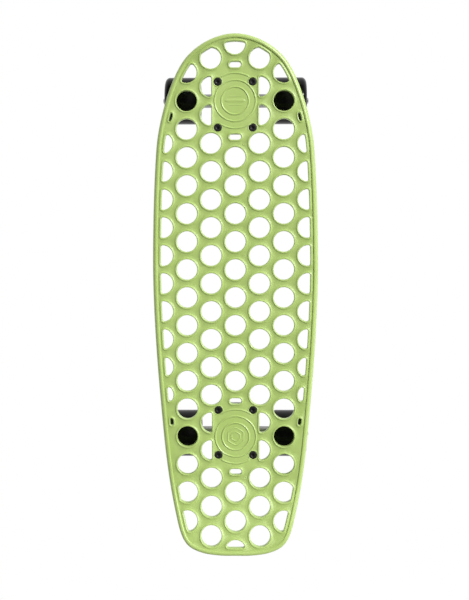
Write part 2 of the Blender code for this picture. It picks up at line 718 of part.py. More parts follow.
def wheel_mesh():
    """One wheel about Z, with a bearing seat in each side and a lip between them."""
    shoulder = SPACER_LENGTH / 2 - GAP
    mouth = SPACER_LENGTH / 2 + BEARING_WIDTH + GAP
    outer = [(DISH_RADIUS, mouth), (DISH_RADIUS, WHEEL_HALF_WIDTH - DISH_DEPTH)]
    outer.append((FACE_RADIUS, WHEEL_HALF_WIDTH))
    for turn in SHOULDER_TURNS:
        angle = math.radians(turn)
        radius = WHEEL_RADIUS - SHOULDER_REACH * (1 - math.sin(angle))
        outer.append((radius, WHEEL_HALF_WIDTH - SHOULDER_DEPTH * (1 - math.cos(angle))))
    upper = [(BEARING_LIP, shoulder), (BEARING_SEAT, shoulder), (BEARING_SEAT, mouth), *outer]
    profile = upper + [(radius, -z) for radius, z in reversed(upper)]
    return turned("wheel", profile, WHEEL_SIDES, flats_at_radius=True)


def bearing_mesh():
    """A closed ball bearing about Z, as one ring."""
    half = BEARING_WIDTH / 2
    return turned("bearing", pipe(BEARING_BORE, BEARING_RADIUS, -half, half), BEARING_SIDES)


def make_wheels(end, frame, looks):
    """Both wheels of a truck with their bearings, and the washer and nut that hold each on the axle."""
    wheel, bearing = wheel_mesh(), bearing_mesh()
    washer = turned("axle_washer", pipe(BEARING_BORE, AXLE_WASHER_RADIUS, 0, SPEED_WASHER), 12)
    nut = nut_mesh("axle_nut", BEARING_BORE, AXLE_NUT_RADIUS, AXLE_NUT_HEIGHT)
    made = []
    for side, way in (("left", -1), ("right", 1)):
        local_way = way if end == "front" else -way
        centre = AXLE_AT + Vector((local_way * WHEEL_X, 0, 0))
        hub = frame @ along(Vector((local_way, 0, 0)), centre)
        name = f"{end}_{side}"
        made.append(place(f"{name}_wheel", wheel, looks["tyre"], hub))
        for where, z in (("inner", -BEARING_MIDDLE), ("outer", BEARING_MIDDLE)):
            at = hub @ Matrix.Translation((0, 0, z))
            made.append(place(f"{name}_{where}_bearing", bearing, looks["steel"], at))
        at = hub @ Matrix.Translation((0, 0, WASHER_AT))
        made.append(place(f"{name}_axle_washer", washer, looks["steel"], at))
        at = hub @ Matrix.Translation((0, 0, NUT_AT))
        made.append(place(f"{name}_axle_nut", nut, looks["steel"], at))
    return made


def steer_together(end, frame, pieces):
    """An empty on the truck's steering axis that carries everything that steers, with nothing moved."""
    on_axis = frame @ along(STEER_AXIS, RING_AT)
    pivot = bpy.data.objects.new(f"{end}_steering_axis", None)
    bpy.context.scene.collection.objects.link(pivot)
    pivot.matrix_world = on_axis
    for piece in pieces:
        piece.parent = pivot
        piece.matrix_parent_inverse = on_axis.inverted()


def main():
    clear_scene()
    looks = {
        "steel": material("zinc_steel", STEEL, 0.30, 1.0),
        "cast": material("cast_aluminium", CAST, 0.45, 1.0),
        "tyre": material("black_urethane", BLACK, 0.30, 0.0),
        "rubber": material("bushing_rubber", DARK, 0.55, 0.0),
        "black": material("black_screw", DARK, 0.35, 0.6),
    }
    frames = truck_frames()
    make_deck(material("green_plastic", GREEN, 0.42, 0.0), frames)
    for end, frame in frames.items():
        make_mounting_hardware(end, frame, looks["black"])
        baseplate(end, frame, looks["cast"])
        kingpin_stack(end, frame, looks)
        pivot_cup(end, frame, looks["rubber"])
        moving = [hanger(end, frame, looks["cast"]), axle(end, frame, looks["steel"])]
        moving += make_wheels(end, frame, looks)
        steer_together(end, frame, moving)


main()
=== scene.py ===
"""The look of the plastic cruiser skateboard.

A finely moulded deck, truck parts, wheels and fasteners take the places of the CAD nodes. The baseplates
and the hangers stay CAD nodes, with their edges softened.

Metres, in the frame of the CAD model: +Z up, +Y towards the nose, the floor at z = 0. Heights of the deck's
moulded details are measured from its flat upper surface, and the kicks bend them all together.
"""

import math

import bmesh
import bpy
from mathutils import Matrix, Vector
from mathutils.geometry import delaunay_2d_cdt


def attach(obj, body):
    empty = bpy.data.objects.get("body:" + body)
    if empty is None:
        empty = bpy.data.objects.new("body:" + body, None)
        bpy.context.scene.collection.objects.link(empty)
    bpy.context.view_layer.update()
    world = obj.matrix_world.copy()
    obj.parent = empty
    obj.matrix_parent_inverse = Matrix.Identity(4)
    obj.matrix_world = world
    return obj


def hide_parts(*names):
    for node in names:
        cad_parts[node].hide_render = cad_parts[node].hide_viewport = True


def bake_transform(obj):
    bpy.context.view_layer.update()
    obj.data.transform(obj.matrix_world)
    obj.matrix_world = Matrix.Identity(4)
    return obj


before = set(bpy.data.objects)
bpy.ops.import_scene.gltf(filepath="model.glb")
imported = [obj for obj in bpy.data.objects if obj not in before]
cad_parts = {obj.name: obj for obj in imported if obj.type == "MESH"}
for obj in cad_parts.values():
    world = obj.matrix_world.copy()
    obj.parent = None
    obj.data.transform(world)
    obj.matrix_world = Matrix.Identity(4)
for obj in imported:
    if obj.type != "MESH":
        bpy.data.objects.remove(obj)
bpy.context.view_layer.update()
SCENE = bpy.context.scene

# Deck
WHEEL_RADIUS = 0.0285
AXLE_DROP = 0.046  # from the underside of the deck's pads down to the axle
UNDERSIDE_Z = WHEEL_RADIUS + AXLE_DROP
PAD_THICKNESS = 0.0095
SURFACE_Z = UNDERSIDE_Z + PAD_THICKNESS
PLATE_THICKNESS = 0.005
SKIRT_WIDTH = 0.0045
# The right-hand half of the outline, as (x, y), from the tip of the nose to the tip of the tail
HALF_OUTLINE = (
    (0.0, 0.3083), (0.0300, 0.3014), (0.0559, 0.2835), (0.0714, 0.2594), (0.0860, 0.2170),
    (0.0939, 0.1718), (0.0983, 0.0458), (0.0958, -0.0442), (0.0878, -0.1492), (0.0796, -0.2212),
    (0.0692, -0.2707), (0.0626, -0.2892), (0.0541, -0.2989), (0.0386, -0.3054), (0.0179, -0.3082),
    (0.0, -0.3084),
)
OUTLINE_STEPS = 8  # from one outline point to the next
# Each kick: where it starts, the length of its bend, and the slope after the bend
NOSE_KICK_Y, NOSE_KICK_BEND, NOSE_KICK_SLOPE = 0.2628, 0.024, 0.231
TAIL_KICK_Y, TAIL_KICK_BEND, TAIL_KICK_SLOPE = -0.2112, 0.040, 0.262
LATTICE_PITCH = 0.03325
LATTICE_COLUMN = LATTICE_PITCH * math.sqrt(3) / 2
LATTICE_Y = 0.2299  # a lattice point on the centre line, at the middle of the front pad
LATTICE_COLUMNS = range(-3, 4)
LATTICE_ROWS = range(-3, 17)  # counted from LATTICE_Y towards the tail
ROWS_BETWEEN_PADS = 12
HOLE_RADIUS = 0.0122
HOLE_SIDES = 40
FIELD_INSET = 0.0094  # from the outline to the edge of the field of holes
CORNER_ROUNDINGS = (0.0024, 0.0018, 0.0013, 0.0009, 0.0005)  # the first that fits is used
CLOSEST_POINTS = 0.00005
LONGEST_WALL = 0.005
WALL_TURN = math.radians(15)
SMALLEST_HOLE_AREA = 2.0e-5
SMALLEST_CORE_AREA = 1e-7
PAD_HALF_WIDTH, PAD_HALF_LENGTH = 0.0282, 0.0385
PAD_CENTRES_Y = (LATTICE_Y, LATTICE_Y - ROWS_BETWEEN_PADS * LATTICE_PITCH)
SLOT_LENGTH, SLOT_WIDTH = 0.0140, 0.0068
SLOT_FROM_PAD_CENTRE = 0.0425

# Sections of the moulding, as (distance, height): outwards from a hole's wall, and inwards from the outline
BEAD_WIDTH = 0.0026
HOLE_SECTION = (
    (BEAD_WIDTH, 0.0), (0.00245, 0.00008), (0.00210, 0.00036), (0.00168, 0.00072), (0.00130, 0.00090),
    (0.00090, 0.00095), (0.00050, 0.00084), (0.00020, 0.00058), (0.00005, 0.00010), (0.0, -0.00070),
    (0.0, -0.00680), (0.00025, -0.00710), (0.00150, -0.00710), (0.00175, -0.00690),
    (0.00195, -PLATE_THICKNESS), (BEAD_WIDTH, -PLATE_THICKNESS),
)
LIP_FOOT = 0.0058
EDGE_SECTION = (
    (LIP_FOOT, 0.0), (0.00565, 0.00015), (0.00535, 0.00080), (0.00495, 0.00112), (0.00440, 0.00120),
    (0.00360, 0.00118), (0.00270, 0.00092), (0.00190, 0.00040), (0.00120, -0.00040),
    (0.00060, -0.00150), (0.00020, -0.00290), (0.0, -0.00450), (0.0, -0.00860), (0.00030, -0.00910),
    (0.00080, -0.00930), (0.00370, -0.00930), (0.00420, -0.00910), (0.00450, -0.00860),
    (0.00470, -0.00560), (0.00520, -PLATE_THICKNESS), (LIP_FOOT, -PLATE_THICKNESS),
)
SCREW_OPENING = 0.0049
SCREW_SECTION = (
    (SCREW_OPENING, 0.0), (0.00485, -0.00010), (0.00485, -0.00110), (0.00270, -0.00330),
    (0.00270, -PLATE_THICKNESS), (SCREW_OPENING, -PLATE_THICKNESS),
)

# The cover's extra points, which let it bend
COVER_PITCH = 0.0065
COVER_ROWS, COVER_COLUMNS = range(-48, 49), range(-16, 17)
CLEAR_OF_HOLES, CLEAR_OF_OUTLINE = 0.0012, 0.0015
NEAREST_OUTLINE = 0.05  # a shorter distance from the board's middle counts as this
TRIANGULATION_SLACK = 1e-7

# Raised details of the deck
# A ridge's cross-section, in shares of its width and height
RIDGE_SECTION = (
    (-0.5, 0.0), (-0.40, 0.30), (-0.22, 0.80), (0.0, 1.0), (0.22, 0.80), (0.40, 0.30), (0.5, 0.0),
)
RIDGE_TAPER = 0.0030
RIDGE_FOOT, RIDGE_FOOT_SHARE = -0.0003, 0.4
RING_RADII = (0.0243, 0.0162)
OUTER_RING_RADIUS = 0.0325
INBOARD_HALF_ARC, OUTBOARD_HALF_ARC = 36, 33
RING_RIDGE = (0.0025, 0.0010)  # (width, height), as for each ridge below
SCREW_RIM_RADIUS, SCREW_RIM_RIDGE = 0.00555, (0.0012, 0.00045)
BAR_STEP, BAR_STEPS, BAR_RIDGE = 0.00125, 10, (0.0046, 0.0006)
LINE_STEP, LINE_STEPS, LINE_RIDGE = 0.0012, 7, (0.0012, 0.0004)
LINES_FROM_BAR = (0.0050, -0.0050)
HEXAGON_RADII, HEXAGON_RIDGE = (0.0108, 0.0058), (0.0018, 0.0006)
HEXAGON_SIDE_SHARES = (0.08, 0.36, 0.64, 0.92)
EJECTOR_MARKS = ((0.0104, 0.1784), (0.0107, 0.0467), (0.0115, -0.2185))
MARK_RADIUS, MARK_RIDGE = 0.0013, (0.0009, 0.00035)

# Trucks, in each truck's own frame
BOLT_SPACING_X, BOLT_SPACING_Y = 0.041275, 0.053975
PATTERN_FROM_PAD_CENTRE = 0.0047
AXLE_AT = Vector((0.0, 0.0100, -AXLE_DROP))
RING_AT = Vector((0.0, -0.0130, -0.0290))
PIVOT_AT = Vector((0.0, 0.0220, -0.0100))
KINGPIN_LEAN = math.radians(12)
STEER_AXIS = (PIVOT_AT - RING_AT).normalized()
KINGPIN_AXIS = Vector((0.0, -math.sin(KINGPIN_LEAN), math.cos(KINGPIN_LEAN)))
GAP = 0.0003  # between pieces that meet
HANGER_HALF_LENGTH = 0.0516
SPEED_WASHER = 0.0010
BEARING_WIDTH = 0.0070
SPACER_LENGTH = 0.0100  # between a wheel's two bearings
WHEEL_X = HANGER_HALF_LENGTH + SPEED_WASHER + BEARING_WIDTH + SPACER_LENGTH / 2
AXLE_HALF_LENGTH = 0.0888
AXLE_RADIUS, AXLE_BORE = 0.00385, 0.00415
WHEEL_HALF_WIDTH = 0.02175
PLATE_HEIGHT = 0.0055
SCREW_RADIUS = 0.0024
# Nuts, each as (half width over its corners, bore, height, height of its nylon collar)
LOCK_NUT = (0.0055, SCREW_RADIUS + GAP, 0.0050, 0.0011)
AXLE_NUT = (0.0074, AXLE_BORE, 0.0064, 0.0014)
THREAD_FORM = ((1, 0.10), (0, 0.45), (0, 0.60), (1, 0.95))  # (share of the depth, share of the pitch)
BORE = 0.0043
BUSHING_BORE = 0.0050  # wide enough for the kingpin when the bushing bends
RING_HALF_THICKNESS = 0.0030
UPPER_BUSHING_HEIGHT, LOWER_BUSHING_HEIGHT = 0.0116, 0.0100
UPPER_BUSHING_LOW = RING_HALF_THICKNESS + GAP
UPPER_BUSHING_HIGH = UPPER_BUSHING_LOW + UPPER_BUSHING_HEIGHT
UPPER_WASHER_LOW = UPPER_BUSHING_HIGH + GAP
LOWER_BUSHING_LOW = -(RING_HALF_THICKNESS + GAP + LOWER_BUSHING_HEIGHT)
LOWER_WASHER_HIGH = LOWER_BUSHING_LOW - GAP
CUP_WASHER_THICKNESS, CUP_WASHER_SHEET = 0.0015, 0.0008
KINGPIN_NUT_HEIGHT = 0.0065
KINGPIN_NUT = (0.0074, BORE, KINGPIN_NUT_HEIGHT, 0.0015)
KINGPIN_NUT_LOW = LOWER_WASHER_HIGH - CUP_WASHER_THICKNESS - GAP - KINGPIN_NUT_HEIGHT
KINGPIN_END = KINGPIN_NUT_LOW - 0.0022
HEAD_LOW = UPPER_WASHER_LOW + CUP_WASHER_THICKNESS + GAP + 0.0050

# Colours and noise scales of the deck's plastic
DECK_GREEN_LOW = (0.405, 0.555, 0.150)
DECK_GREEN_HIGH = (0.455, 0.610, 0.182)
DECK_GREEN_WARM = (0.470, 0.600, 0.200)
DECK_SCUFF = (0.600, 0.720, 0.360)
# Painted shade: a darker, deeper green laid into the deck's creases and hollows
DECK_CREASE_SHADE = (0.260, 0.360, 0.090)
FLOW_SCALE, WEAR_SCALE, CLOUD_SCALE = 16, 22, 90
RIPPLE_SCALE, SCRATCH_SCALE, GRAIN_SCALE = 160, 420, 1500
SCRATCH_TURN = 0.5
BUMP_DISTANCE = 0.0004
FIRST_COLOUR, SECOND_COLOUR, MIXED_COLOUR = 6, 7, 2  # sockets of a Mix node that mixes colours

# Camera and studio
CAMERA_AT = (0.0244, 0.0825, 1.4840)
CAMERA_TURN = (-2.33, 1.038, -0.095)  # degrees
FOCAL_PIXELS = 1180.3
LONG_SIDE_PIXELS = 600
SENSOR_MM = 36.0
CAMERA_SHIFT_Y = -0.044


# ---- Materials ----


class Nodes:
    """A material's node tree, with short ways to add nodes and link them."""

    def __init__(self, name):
        self.material = bpy.data.materials.new(name)
        self.material.use_nodes = True
        self.tree = self.material.node_tree
        self.shader = self.tree.nodes["Principled BSDF"]

    def add(self, kind, **settings):
        node = self.tree.nodes.new(kind)
        for name, value in settings.items():
            setattr(node, name, value)
        return node

    def put(self, **settings):
        """Values of the shader's own sockets, with _ for each space in a socket's name."""
        for name, value in settings.items():
            self.shader.inputs[name.replace("_", " ")].default_value = value

    def link(self, source, target):
        self.tree.links.new(source, target)

    def maths(self, operation, first, second):
        node = self.add("ShaderNodeMath", operation=operation)
        for socket, value in zip(node.inputs, (first, second)):
            if isinstance(value, (int, float)):
                socket.default_value = value
            else:
                self.link(value, socket)
        return node.outputs[0]

    def noise(self, where, scale, detail=3.0, rough=0.5):
        node = self.add("ShaderNodeTexNoise")
        node.inputs["Scale"].default_value = scale
        node.inputs["Detail"].default_value = detail
        node.inputs["Roughness"].default_value = rough
        self.link(where, node.inputs["Vector"])
        return node.outputs["Fac"]

    def span(self, value, low, high, to_low=0.0, to_high=1.0):
        """value, mapped from low..high to to_low..to_high and held there."""
        node = self.add("ShaderNodeMapRange")
        self.link(value, node.inputs["Value"])
        for name, number in (("From Min", low), ("From Max", high), ("To Min", to_low), ("To Max", to_high)):
            node.inputs[name].default_value = number
        return node.outputs["Result"]

    def blend(self, share, low, high):
        node = self.add("ShaderNodeMix", data_type="RGBA")
        self.link(share, node.inputs["Factor"])
        for socket, value in ((node.inputs[FIRST_COLOUR], low), (node.inputs[SECOND_COLOUR], high)):
            if isinstance(value, tuple):
                socket.default_value = (*value, 1.0)
            else:
                self.link(value, socket)
        return node.outputs[MIXED_COLOUR]

    def mapped(self, where, scale, turn=0.0):
        """Coordinates scaled along each axis, and turned about Z."""
        node = self.add("ShaderNodeMapping")
        node.inputs["Rotation"].default_value = (0.0, 0.0, turn)
        node.inputs["Scale"].default_value = scale
        self.link(where, node.inputs["Vector"])
        return node.outputs[0]

    def relief(self, height, strength):
        """A fine relief on the shader's normal."""
        bump = self.add("ShaderNodeBump")
        bump.inputs["Strength"].default_value = strength
        bump.inputs["Distance"].default_value = BUMP_DISTANCE
        self.link(height, bump.inputs["Height"])
        self.link(bump.outputs["Normal"], self.shader.inputs["Normal"])


def round_axis(nodes, where, stretch):
    """Coordinates that run around the piece's own Z axis in rings: (distance from the axis, height, 0)."""
    parts = nodes.add("ShaderNodeSeparateXYZ")
    nodes.link(where, parts.inputs[0])
    flat = nodes.add("ShaderNodeCombineXYZ")
    nodes.link(parts.outputs["X"], flat.inputs["X"])
    nodes.link(parts.outputs["Y"], flat.inputs["Y"])
    length = nodes.add("ShaderNodeVectorMath", operation="LENGTH")
    nodes.link(flat.outputs[0], length.inputs[0])
    rings = nodes.add("ShaderNodeCombineXYZ")
    nodes.link(length.outputs["Value"], rings.inputs["X"])
    nodes.link(parts.outputs["Z"], rings.inputs["Y"])
    nodes.link(nodes.maths("MULTIPLY", parts.outputs["X"], stretch), rings.inputs["Z"])
    return rings.outputs[0]


def finish_of(name, low, high, roughness, metallic=0.0, *, mottle, grain, relief, turned=0.0, edge=None,
              edge_share=0.5, gloss=0.5):
    """A finish whose colour and roughness drift together, with a fine grain in relief and rubbed edges.

    turned above 0 draws the grain in rings about the piece's own Z axis, as a lathe leaves it.
    """
    nodes = Nodes(name)
    where = nodes.add("ShaderNodeTexCoord").outputs["Object"]
    share = nodes.span(nodes.noise(where, mottle, 5.0, 0.6), 0.32, 0.68)
    colour = nodes.blend(share, low, high)
    fine_where = round_axis(nodes, where, turned) if turned else where
    fine = nodes.noise(fine_where, grain, 2.0, 0.55)
    rough = nodes.span(share, 0.0, 1.0, *roughness)
    if edge:
        point = nodes.add("ShaderNodeNewGeometry").outputs["Pointiness"]
        rubbed = nodes.span(point, 0.51, 0.58)
        patchy = nodes.span(nodes.noise(where, mottle * 4, 3.0, 0.6), 0.42, 0.62, 0.0, edge_share)
        colour = nodes.blend(nodes.maths("MULTIPLY", rubbed, patchy), colour, edge)
    nodes.link(colour, nodes.shader.inputs["Base Color"])
    uneven = nodes.span(fine, 0.3, 0.7, -0.03, 0.03)
    nodes.link(nodes.maths("ADD", rough, uneven), nodes.shader.inputs["Roughness"])
    nodes.put(Metallic=metallic, Specular_IOR_Level=gloss)
    nodes.relief(fine, relief)
    return nodes.material


def deck_finish():
    """Moulded plastic: faint flow marks along the board, a matt grain, scuffs, paler rubbed edges, and
    painted shade that darkens its creases and hollows.
    """
    nodes = Nodes("moulded_green_plastic")
    where = nodes.add("ShaderNodeTexCoord").outputs["Object"]
    along_board = nodes.mapped(where, (1.0, 0.35, 1.0))
    flow = nodes.span(nodes.noise(along_board, FLOW_SCALE, 4.0, 0.55), 0.30, 0.70)
    cloud = nodes.span(nodes.noise(where, CLOUD_SCALE, 4.0, 0.6), 0.32, 0.68)
    colour = nodes.blend(flow, DECK_GREEN_LOW, DECK_GREEN_HIGH)
    colour = nodes.blend(nodes.maths("MULTIPLY", cloud, 0.35), colour, DECK_GREEN_WARM)
    scratch_where = nodes.mapped(where, (1.0, 0.05, 1.0), SCRATCH_TURN)
    scratches = nodes.span(nodes.noise(scratch_where, SCRATCH_SCALE, 2.0, 0.5), 0.67, 0.72)
    worn = nodes.span(nodes.noise(where, WEAR_SCALE, 3.0, 0.6), 0.50, 0.66)
    scuff = nodes.maths("MULTIPLY", scratches, worn)
    colour = nodes.blend(nodes.maths("MULTIPLY", scuff, 0.35), colour, DECK_SCUFF)
    point = nodes.add("ShaderNodeNewGeometry").outputs["Pointiness"]
    rubbed = nodes.maths("MULTIPLY", nodes.span(point, 0.52, 0.60), nodes.span(cloud, 0.0, 1.0, 0.1, 0.4))
    colour = nodes.blend(rubbed, colour, DECK_SCUFF)
    # Painted shade: concave places, found by their pointiness, blend towards a darker, deeper green
    painted_crease_shade = nodes.span(point, 0.485, 0.44, 0.0, 0.45)
    colour = nodes.blend(painted_crease_shade, colour, DECK_CREASE_SHADE)
    nodes.link(colour, nodes.shader.inputs["Base Color"])
    nodes.put(Specular_IOR_Level=0.65)
    grain = nodes.noise(where, GRAIN_SCALE, 2.0, 0.5)
    uneven = nodes.span(grain, 0.3, 0.7, -0.04, 0.04)
    rough = nodes.maths("ADD", nodes.span(flow, 0.0, 1.0, 0.33, 0.42), uneven)
    rough = nodes.maths("ADD", rough, nodes.maths("MULTIPLY", scuff, 0.15))
    nodes.link(rough, nodes.shader.inputs["Roughness"])
    relief = nodes.maths("ADD", nodes.maths("MULTIPLY", grain, 0.4), nodes.maths("MULTIPLY", scuff, -0.6))
    ripple = nodes.noise(where, RIPPLE_SCALE, 3.0, 0.5)
    relief = nodes.maths("ADD", relief, nodes.maths("MULTIPLY", ripple, 1.2))
    nodes.relief(relief, 0.16)
    return nodes.material


LOOKS = {
    "deck": deck_finish(),
    "wheel": finish_of(
        "polished_black_urethane", (0.003, 0.003, 0.003), (0.007, 0.007, 0.007), (0.10, 0.20),
        mottle=70, grain=1400, relief=0.05, turned=0.02, edge=(0.03, 0.03, 0.03), gloss=0.12),
    "rubber": finish_of(
        "bushing_rubber", (0.016, 0.016, 0.017), (0.030, 0.029, 0.030), (0.42, 0.58),
        mottle=120, grain=1600, relief=0.10),
    "nylon": finish_of(
        "pivot_cup_nylon", (0.030, 0.031, 0.034), (0.050, 0.050, 0.054), (0.40, 0.52),
        mottle=150, grain=1200, relief=0.06),
    "cast": finish_of(
        "cast_aluminium", (0.300, 0.300, 0.300), (0.430, 0.430, 0.420), (0.34, 0.50), 1.0,
        mottle=60, grain=1100, relief=0.22, edge=(0.72, 0.72, 0.71), edge_share=0.8),
    "steel": finish_of(
        "zinc_plated_steel", (0.480, 0.480, 0.470), (0.620, 0.620, 0.630), (0.22, 0.36), 1.0,
        mottle=160, grain=2600, relief=0.08, turned=0.02, edge=(0.80, 0.80, 0.80)),
    "axle": finish_of(
        "turned_axle_steel", (0.430, 0.430, 0.430), (0.560, 0.560, 0.560), (0.20, 0.32), 1.0,
        mottle=120, grain=2600, relief=0.08, turned=0.02),
    "black": finish_of(
        "black_oxide", (0.004, 0.004, 0.004), (0.009, 0.009, 0.009), (0.34, 0.48),
        mottle=260, grain=2200, relief=0.10, turned=0.02, edge=(0.08, 0.08, 0.08), edge_share=0.7,
        gloss=0.3),
    "seal": finish_of(
        "bearing_seal", (0.012, 0.012, 0.013), (0.022, 0.022, 0.023), (0.34, 0.46),
        mottle=200, grain=2400, relief=0.08, turned=0.02),
    "collar": finish_of(
        "nut_collar_nylon", (0.55, 0.56, 0.57), (0.64, 0.65, 0.66), (0.34, 0.44),
        mottle=200, grain=1500, relief=0.05),
}


# ---- Pieces ----


def piece_of(shape, name, at, looks, stands_for=(), body="deck_assembly", sharp=38):
    """The bmesh as a finished piece, in place, riding on a body if one is named."""
    bmesh.ops.recalc_face_normals(shape, faces=shape.faces)
    mesh = bpy.data.meshes.new(name)
    shape.to_mesh(mesh)
    shape.free()
    mesh.shade_smooth()
    mesh.set_sharp_from_angle(angle=math.radians(sharp))
    for look in looks:
        mesh.materials.append(LOOKS[look])
    made = bpy.data.objects.new(name, mesh)
    SCENE.collection.objects.link(made)
    made.matrix_world = at
    if body:
        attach(made, body)
    if stands_for:
        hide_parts(*stands_for)
    return made


def softened(profile, reach, closed=False):
    """The profile with each corner turned into a small curve."""
    points = [Vector(p) for p in profile]
    made = []
    for k, point in enumerate(points):
        if not closed and k in (0, len(points) - 1):
            made.append(tuple(point))
            continue
        before = points[k - 1] - point
        after = points[(k + 1) % len(points)] - point
        start = point + before.normalized() * min(reach, 0.4 * before.length)
        end = point + after.normalized() * min(reach, 0.4 * after.length)
        for t in (0.0, 0.3, 0.7, 1.0):
            made.append(tuple(start * (1 - t) ** 2 + point * (2 * t * (1 - t)) + end * t * t))
    return made


def lathe(profile, sides, closed=False, painted=None):
    """A turned shape about Z. painted(radius, z) is true where a face takes the second material."""
    shape = bmesh.new()
    rings = []
    for radius, z in profile:
        if radius == 0:
            rings.append([shape.verts.new((0, 0, z))])
            continue
        turns = (math.tau * k / sides for k in range(sides))
        rings.append([shape.verts.new((radius * math.cos(a), radius * math.sin(a), z)) for a in turns])
    pairs = list(zip(rings, rings[1:]))
    spots = [((a[0] + b[0]) / 2, (a[1] + b[1]) / 2) for a, b in zip(profile, profile[1:])]
    if closed:
        pairs.append((rings[-1], rings[0]))
        spots.append(((profile[0][0] + profile[-1][0]) / 2, (profile[0][1] + profile[-1][1]) / 2))
    for (first, second), spot in zip(pairs, spots):
        for k in range(sides):
            corners = [first[k % len(first)], first[(k + 1) % len(first)]]
            corners += [second[(k + 1) % len(second)], second[k % len(second)]]
            face = shape.faces.new(list(dict.fromkeys(corners)))
            face.material_index = int(bool(painted and painted(*spot)))
    return shape


def band(shape, first, second):
    """Quads between two rings of vertices with equal counts."""
    for k in range(len(first)):
        after = (k + 1) % len(first)
        shape.faces.new((first[k], first[after], second[after], second[k]))


def rings_joined(shape, rings):
    """Quads between each ring of points and the next. Rings have equal counts."""
    made = [[shape.verts.new(p) for p in ring] for ring in rings]
    for first, second in zip(made, made[1:]):
        band(shape, first, second)
    return made


def hexagon_reach(angle, across):
    """Distance from a hexagon's middle to its side, given half its width across the flats."""
    return across / math.cos((angle % (math.pi / 3)) - math.pi / 6)


def hex_nut(corner, bore, height, collar):
    """A hexagon nut on z = 0, with turned chamfers on both faces and a nylon collar on top."""
    shape = bmesh.new()
    sides, edge, rim = 48, 0.0004, 0.0002
    turns = [math.tau * k / sides for k in range(sides)]
    across = corner * math.cos(math.pi / 6)
    body = height - collar
    cone = across * 1.02

    def ring(reach, z):
        return [(reach(a) * math.cos(a), reach(a) * math.sin(a), z(a)) for a in turns]

    def wall(a):
        return hexagon_reach(a, across)

    def face(a):
        return min(wall(a), cone)

    def drop(a):
        return max(0.0, wall(a) - cone) * 0.58

    made = rings_joined(shape, [
        ring(lambda a: bore, lambda a: edge),
        ring(lambda a: bore + edge, lambda a: 0.0),
        ring(lambda a: face(a) - rim, lambda a: 0.0),
        ring(wall, lambda a: rim + drop(a)),
        ring(wall, lambda a: body - rim - drop(a)),
        ring(lambda a: face(a) - rim, lambda a: body),
        ring(lambda a: across * 0.86, lambda a: body),
        ring(lambda a: across * 0.84, lambda a: body + collar * 0.6),
        ring(lambda a: across * 0.76, lambda a: height),
        ring(lambda a: bore + edge, lambda a: height),
        ring(lambda a: bore, lambda a: height - edge),
    ])
    band(shape, made[-1], made[0])
    for side in shape.faces:
        middle = side.calc_center_median()
        within = math.hypot(middle.x, middle.y) < across * 0.80
        side.material_index = int(middle.z > body + collar * 0.7 and within)
    return shape


def threaded(radius, start, end, pitch=0.0010, depth=0.00035):
    """Profile points of a threaded run from start to end along the axis."""
    count = max(1, int(abs(end - start) / pitch))
    step = (end - start) / count
    return [
        (radius - depth * deep, start + step * (k + place))
        for k in range(count)
        for deep, place in THREAD_FORM
    ]


def along(direction, at):
    """A frame at a point, with its Z axis along the direction."""
    return Matrix.Translation(at) @ direction.to_track_quat("Z", "Y").to_matrix().to_4x4()


# ---- Deck ----


def kick(y):
    """How far the deck rises at y: flat in the middle, then a bend, then a straight slope to each end."""
    for start, bend, slope, way in (
        (NOSE_KICK_Y, NOSE_KICK_BEND, NOSE_KICK_SLOPE, 1),
        (TAIL_KICK_Y, TAIL_KICK_BEND, TAIL_KICK_SLOPE, -1),
    ):
        past = (y - start) * way
        if past > bend:
            return slope * (past - bend / 2)
        if past > 0:
            return slope * past * past / (2 * bend)
    return 0.0


def bent(point, height):
    """The point at a height over the deck's surface, bent by the kicks."""
    return (point[0], point[1], SURFACE_Z + kick(point[1]) + height)


def deck_outline():
    """The closed outline, anticlockwise, as (point, outward normal) pairs on a smooth curve."""
    points = [Vector(p) for p in (
        (-HALF_OUTLINE[1][0], HALF_OUTLINE[1][1]),
        *HALF_OUTLINE,
        (-HALF_OUTLINE[-2][0], HALF_OUTLINE[-2][1]),
    )]
    half = []
    for before, start, end, after in zip(points, points[1:], points[2:], points[3:]):
        span = (end - start).length
        leave = (end - before) * span / ((start - before).length + span)
        arrive = (after - start) * span / ((after - end).length + span)
        for step in range(OUTLINE_STEPS):
            t = step / OUTLINE_STEPS
            half.append(
                start * (1 + t * t * (2 * t - 3))
                + end * (t * t * (3 - 2 * t))
                + leave * (t * (1 - t) * (1 - t))
                - arrive * (t * t * (1 - t))
            )
    half.append(points[-2])
    loop = [Vector((p.x, p.y)) for p in reversed(half)] + [Vector((-p.x, p.y)) for p in half[1:-1]]
    outline = []
    for k, point in enumerate(loop):
        run = (loop[(k + 1) % len(loop)] - loop[k - 1]).normalized()
        outline.append((point, Vector((run.y, -run.x))))
    return outline


def clipped(outline, keep):
    """The part of a convex outline where keep(point) is positive. keep is a linear function."""
    result = []
    for k, point in enumerate(outline):
        previous = outline[k - 1]
        here, there = keep(point), keep(previous)
        if (here > 0) != (there > 0):
            share = there / (there - here)
            result.append(previous + share * (point - previous))
        if here > 0:
            result.append(point)
    return result


def area(outline):
    """The area inside an anticlockwise outline."""
    return sum(a.x * b.y - b.x * a.y for a, b in zip(outline, outline[1:] + outline[:1])) / 2


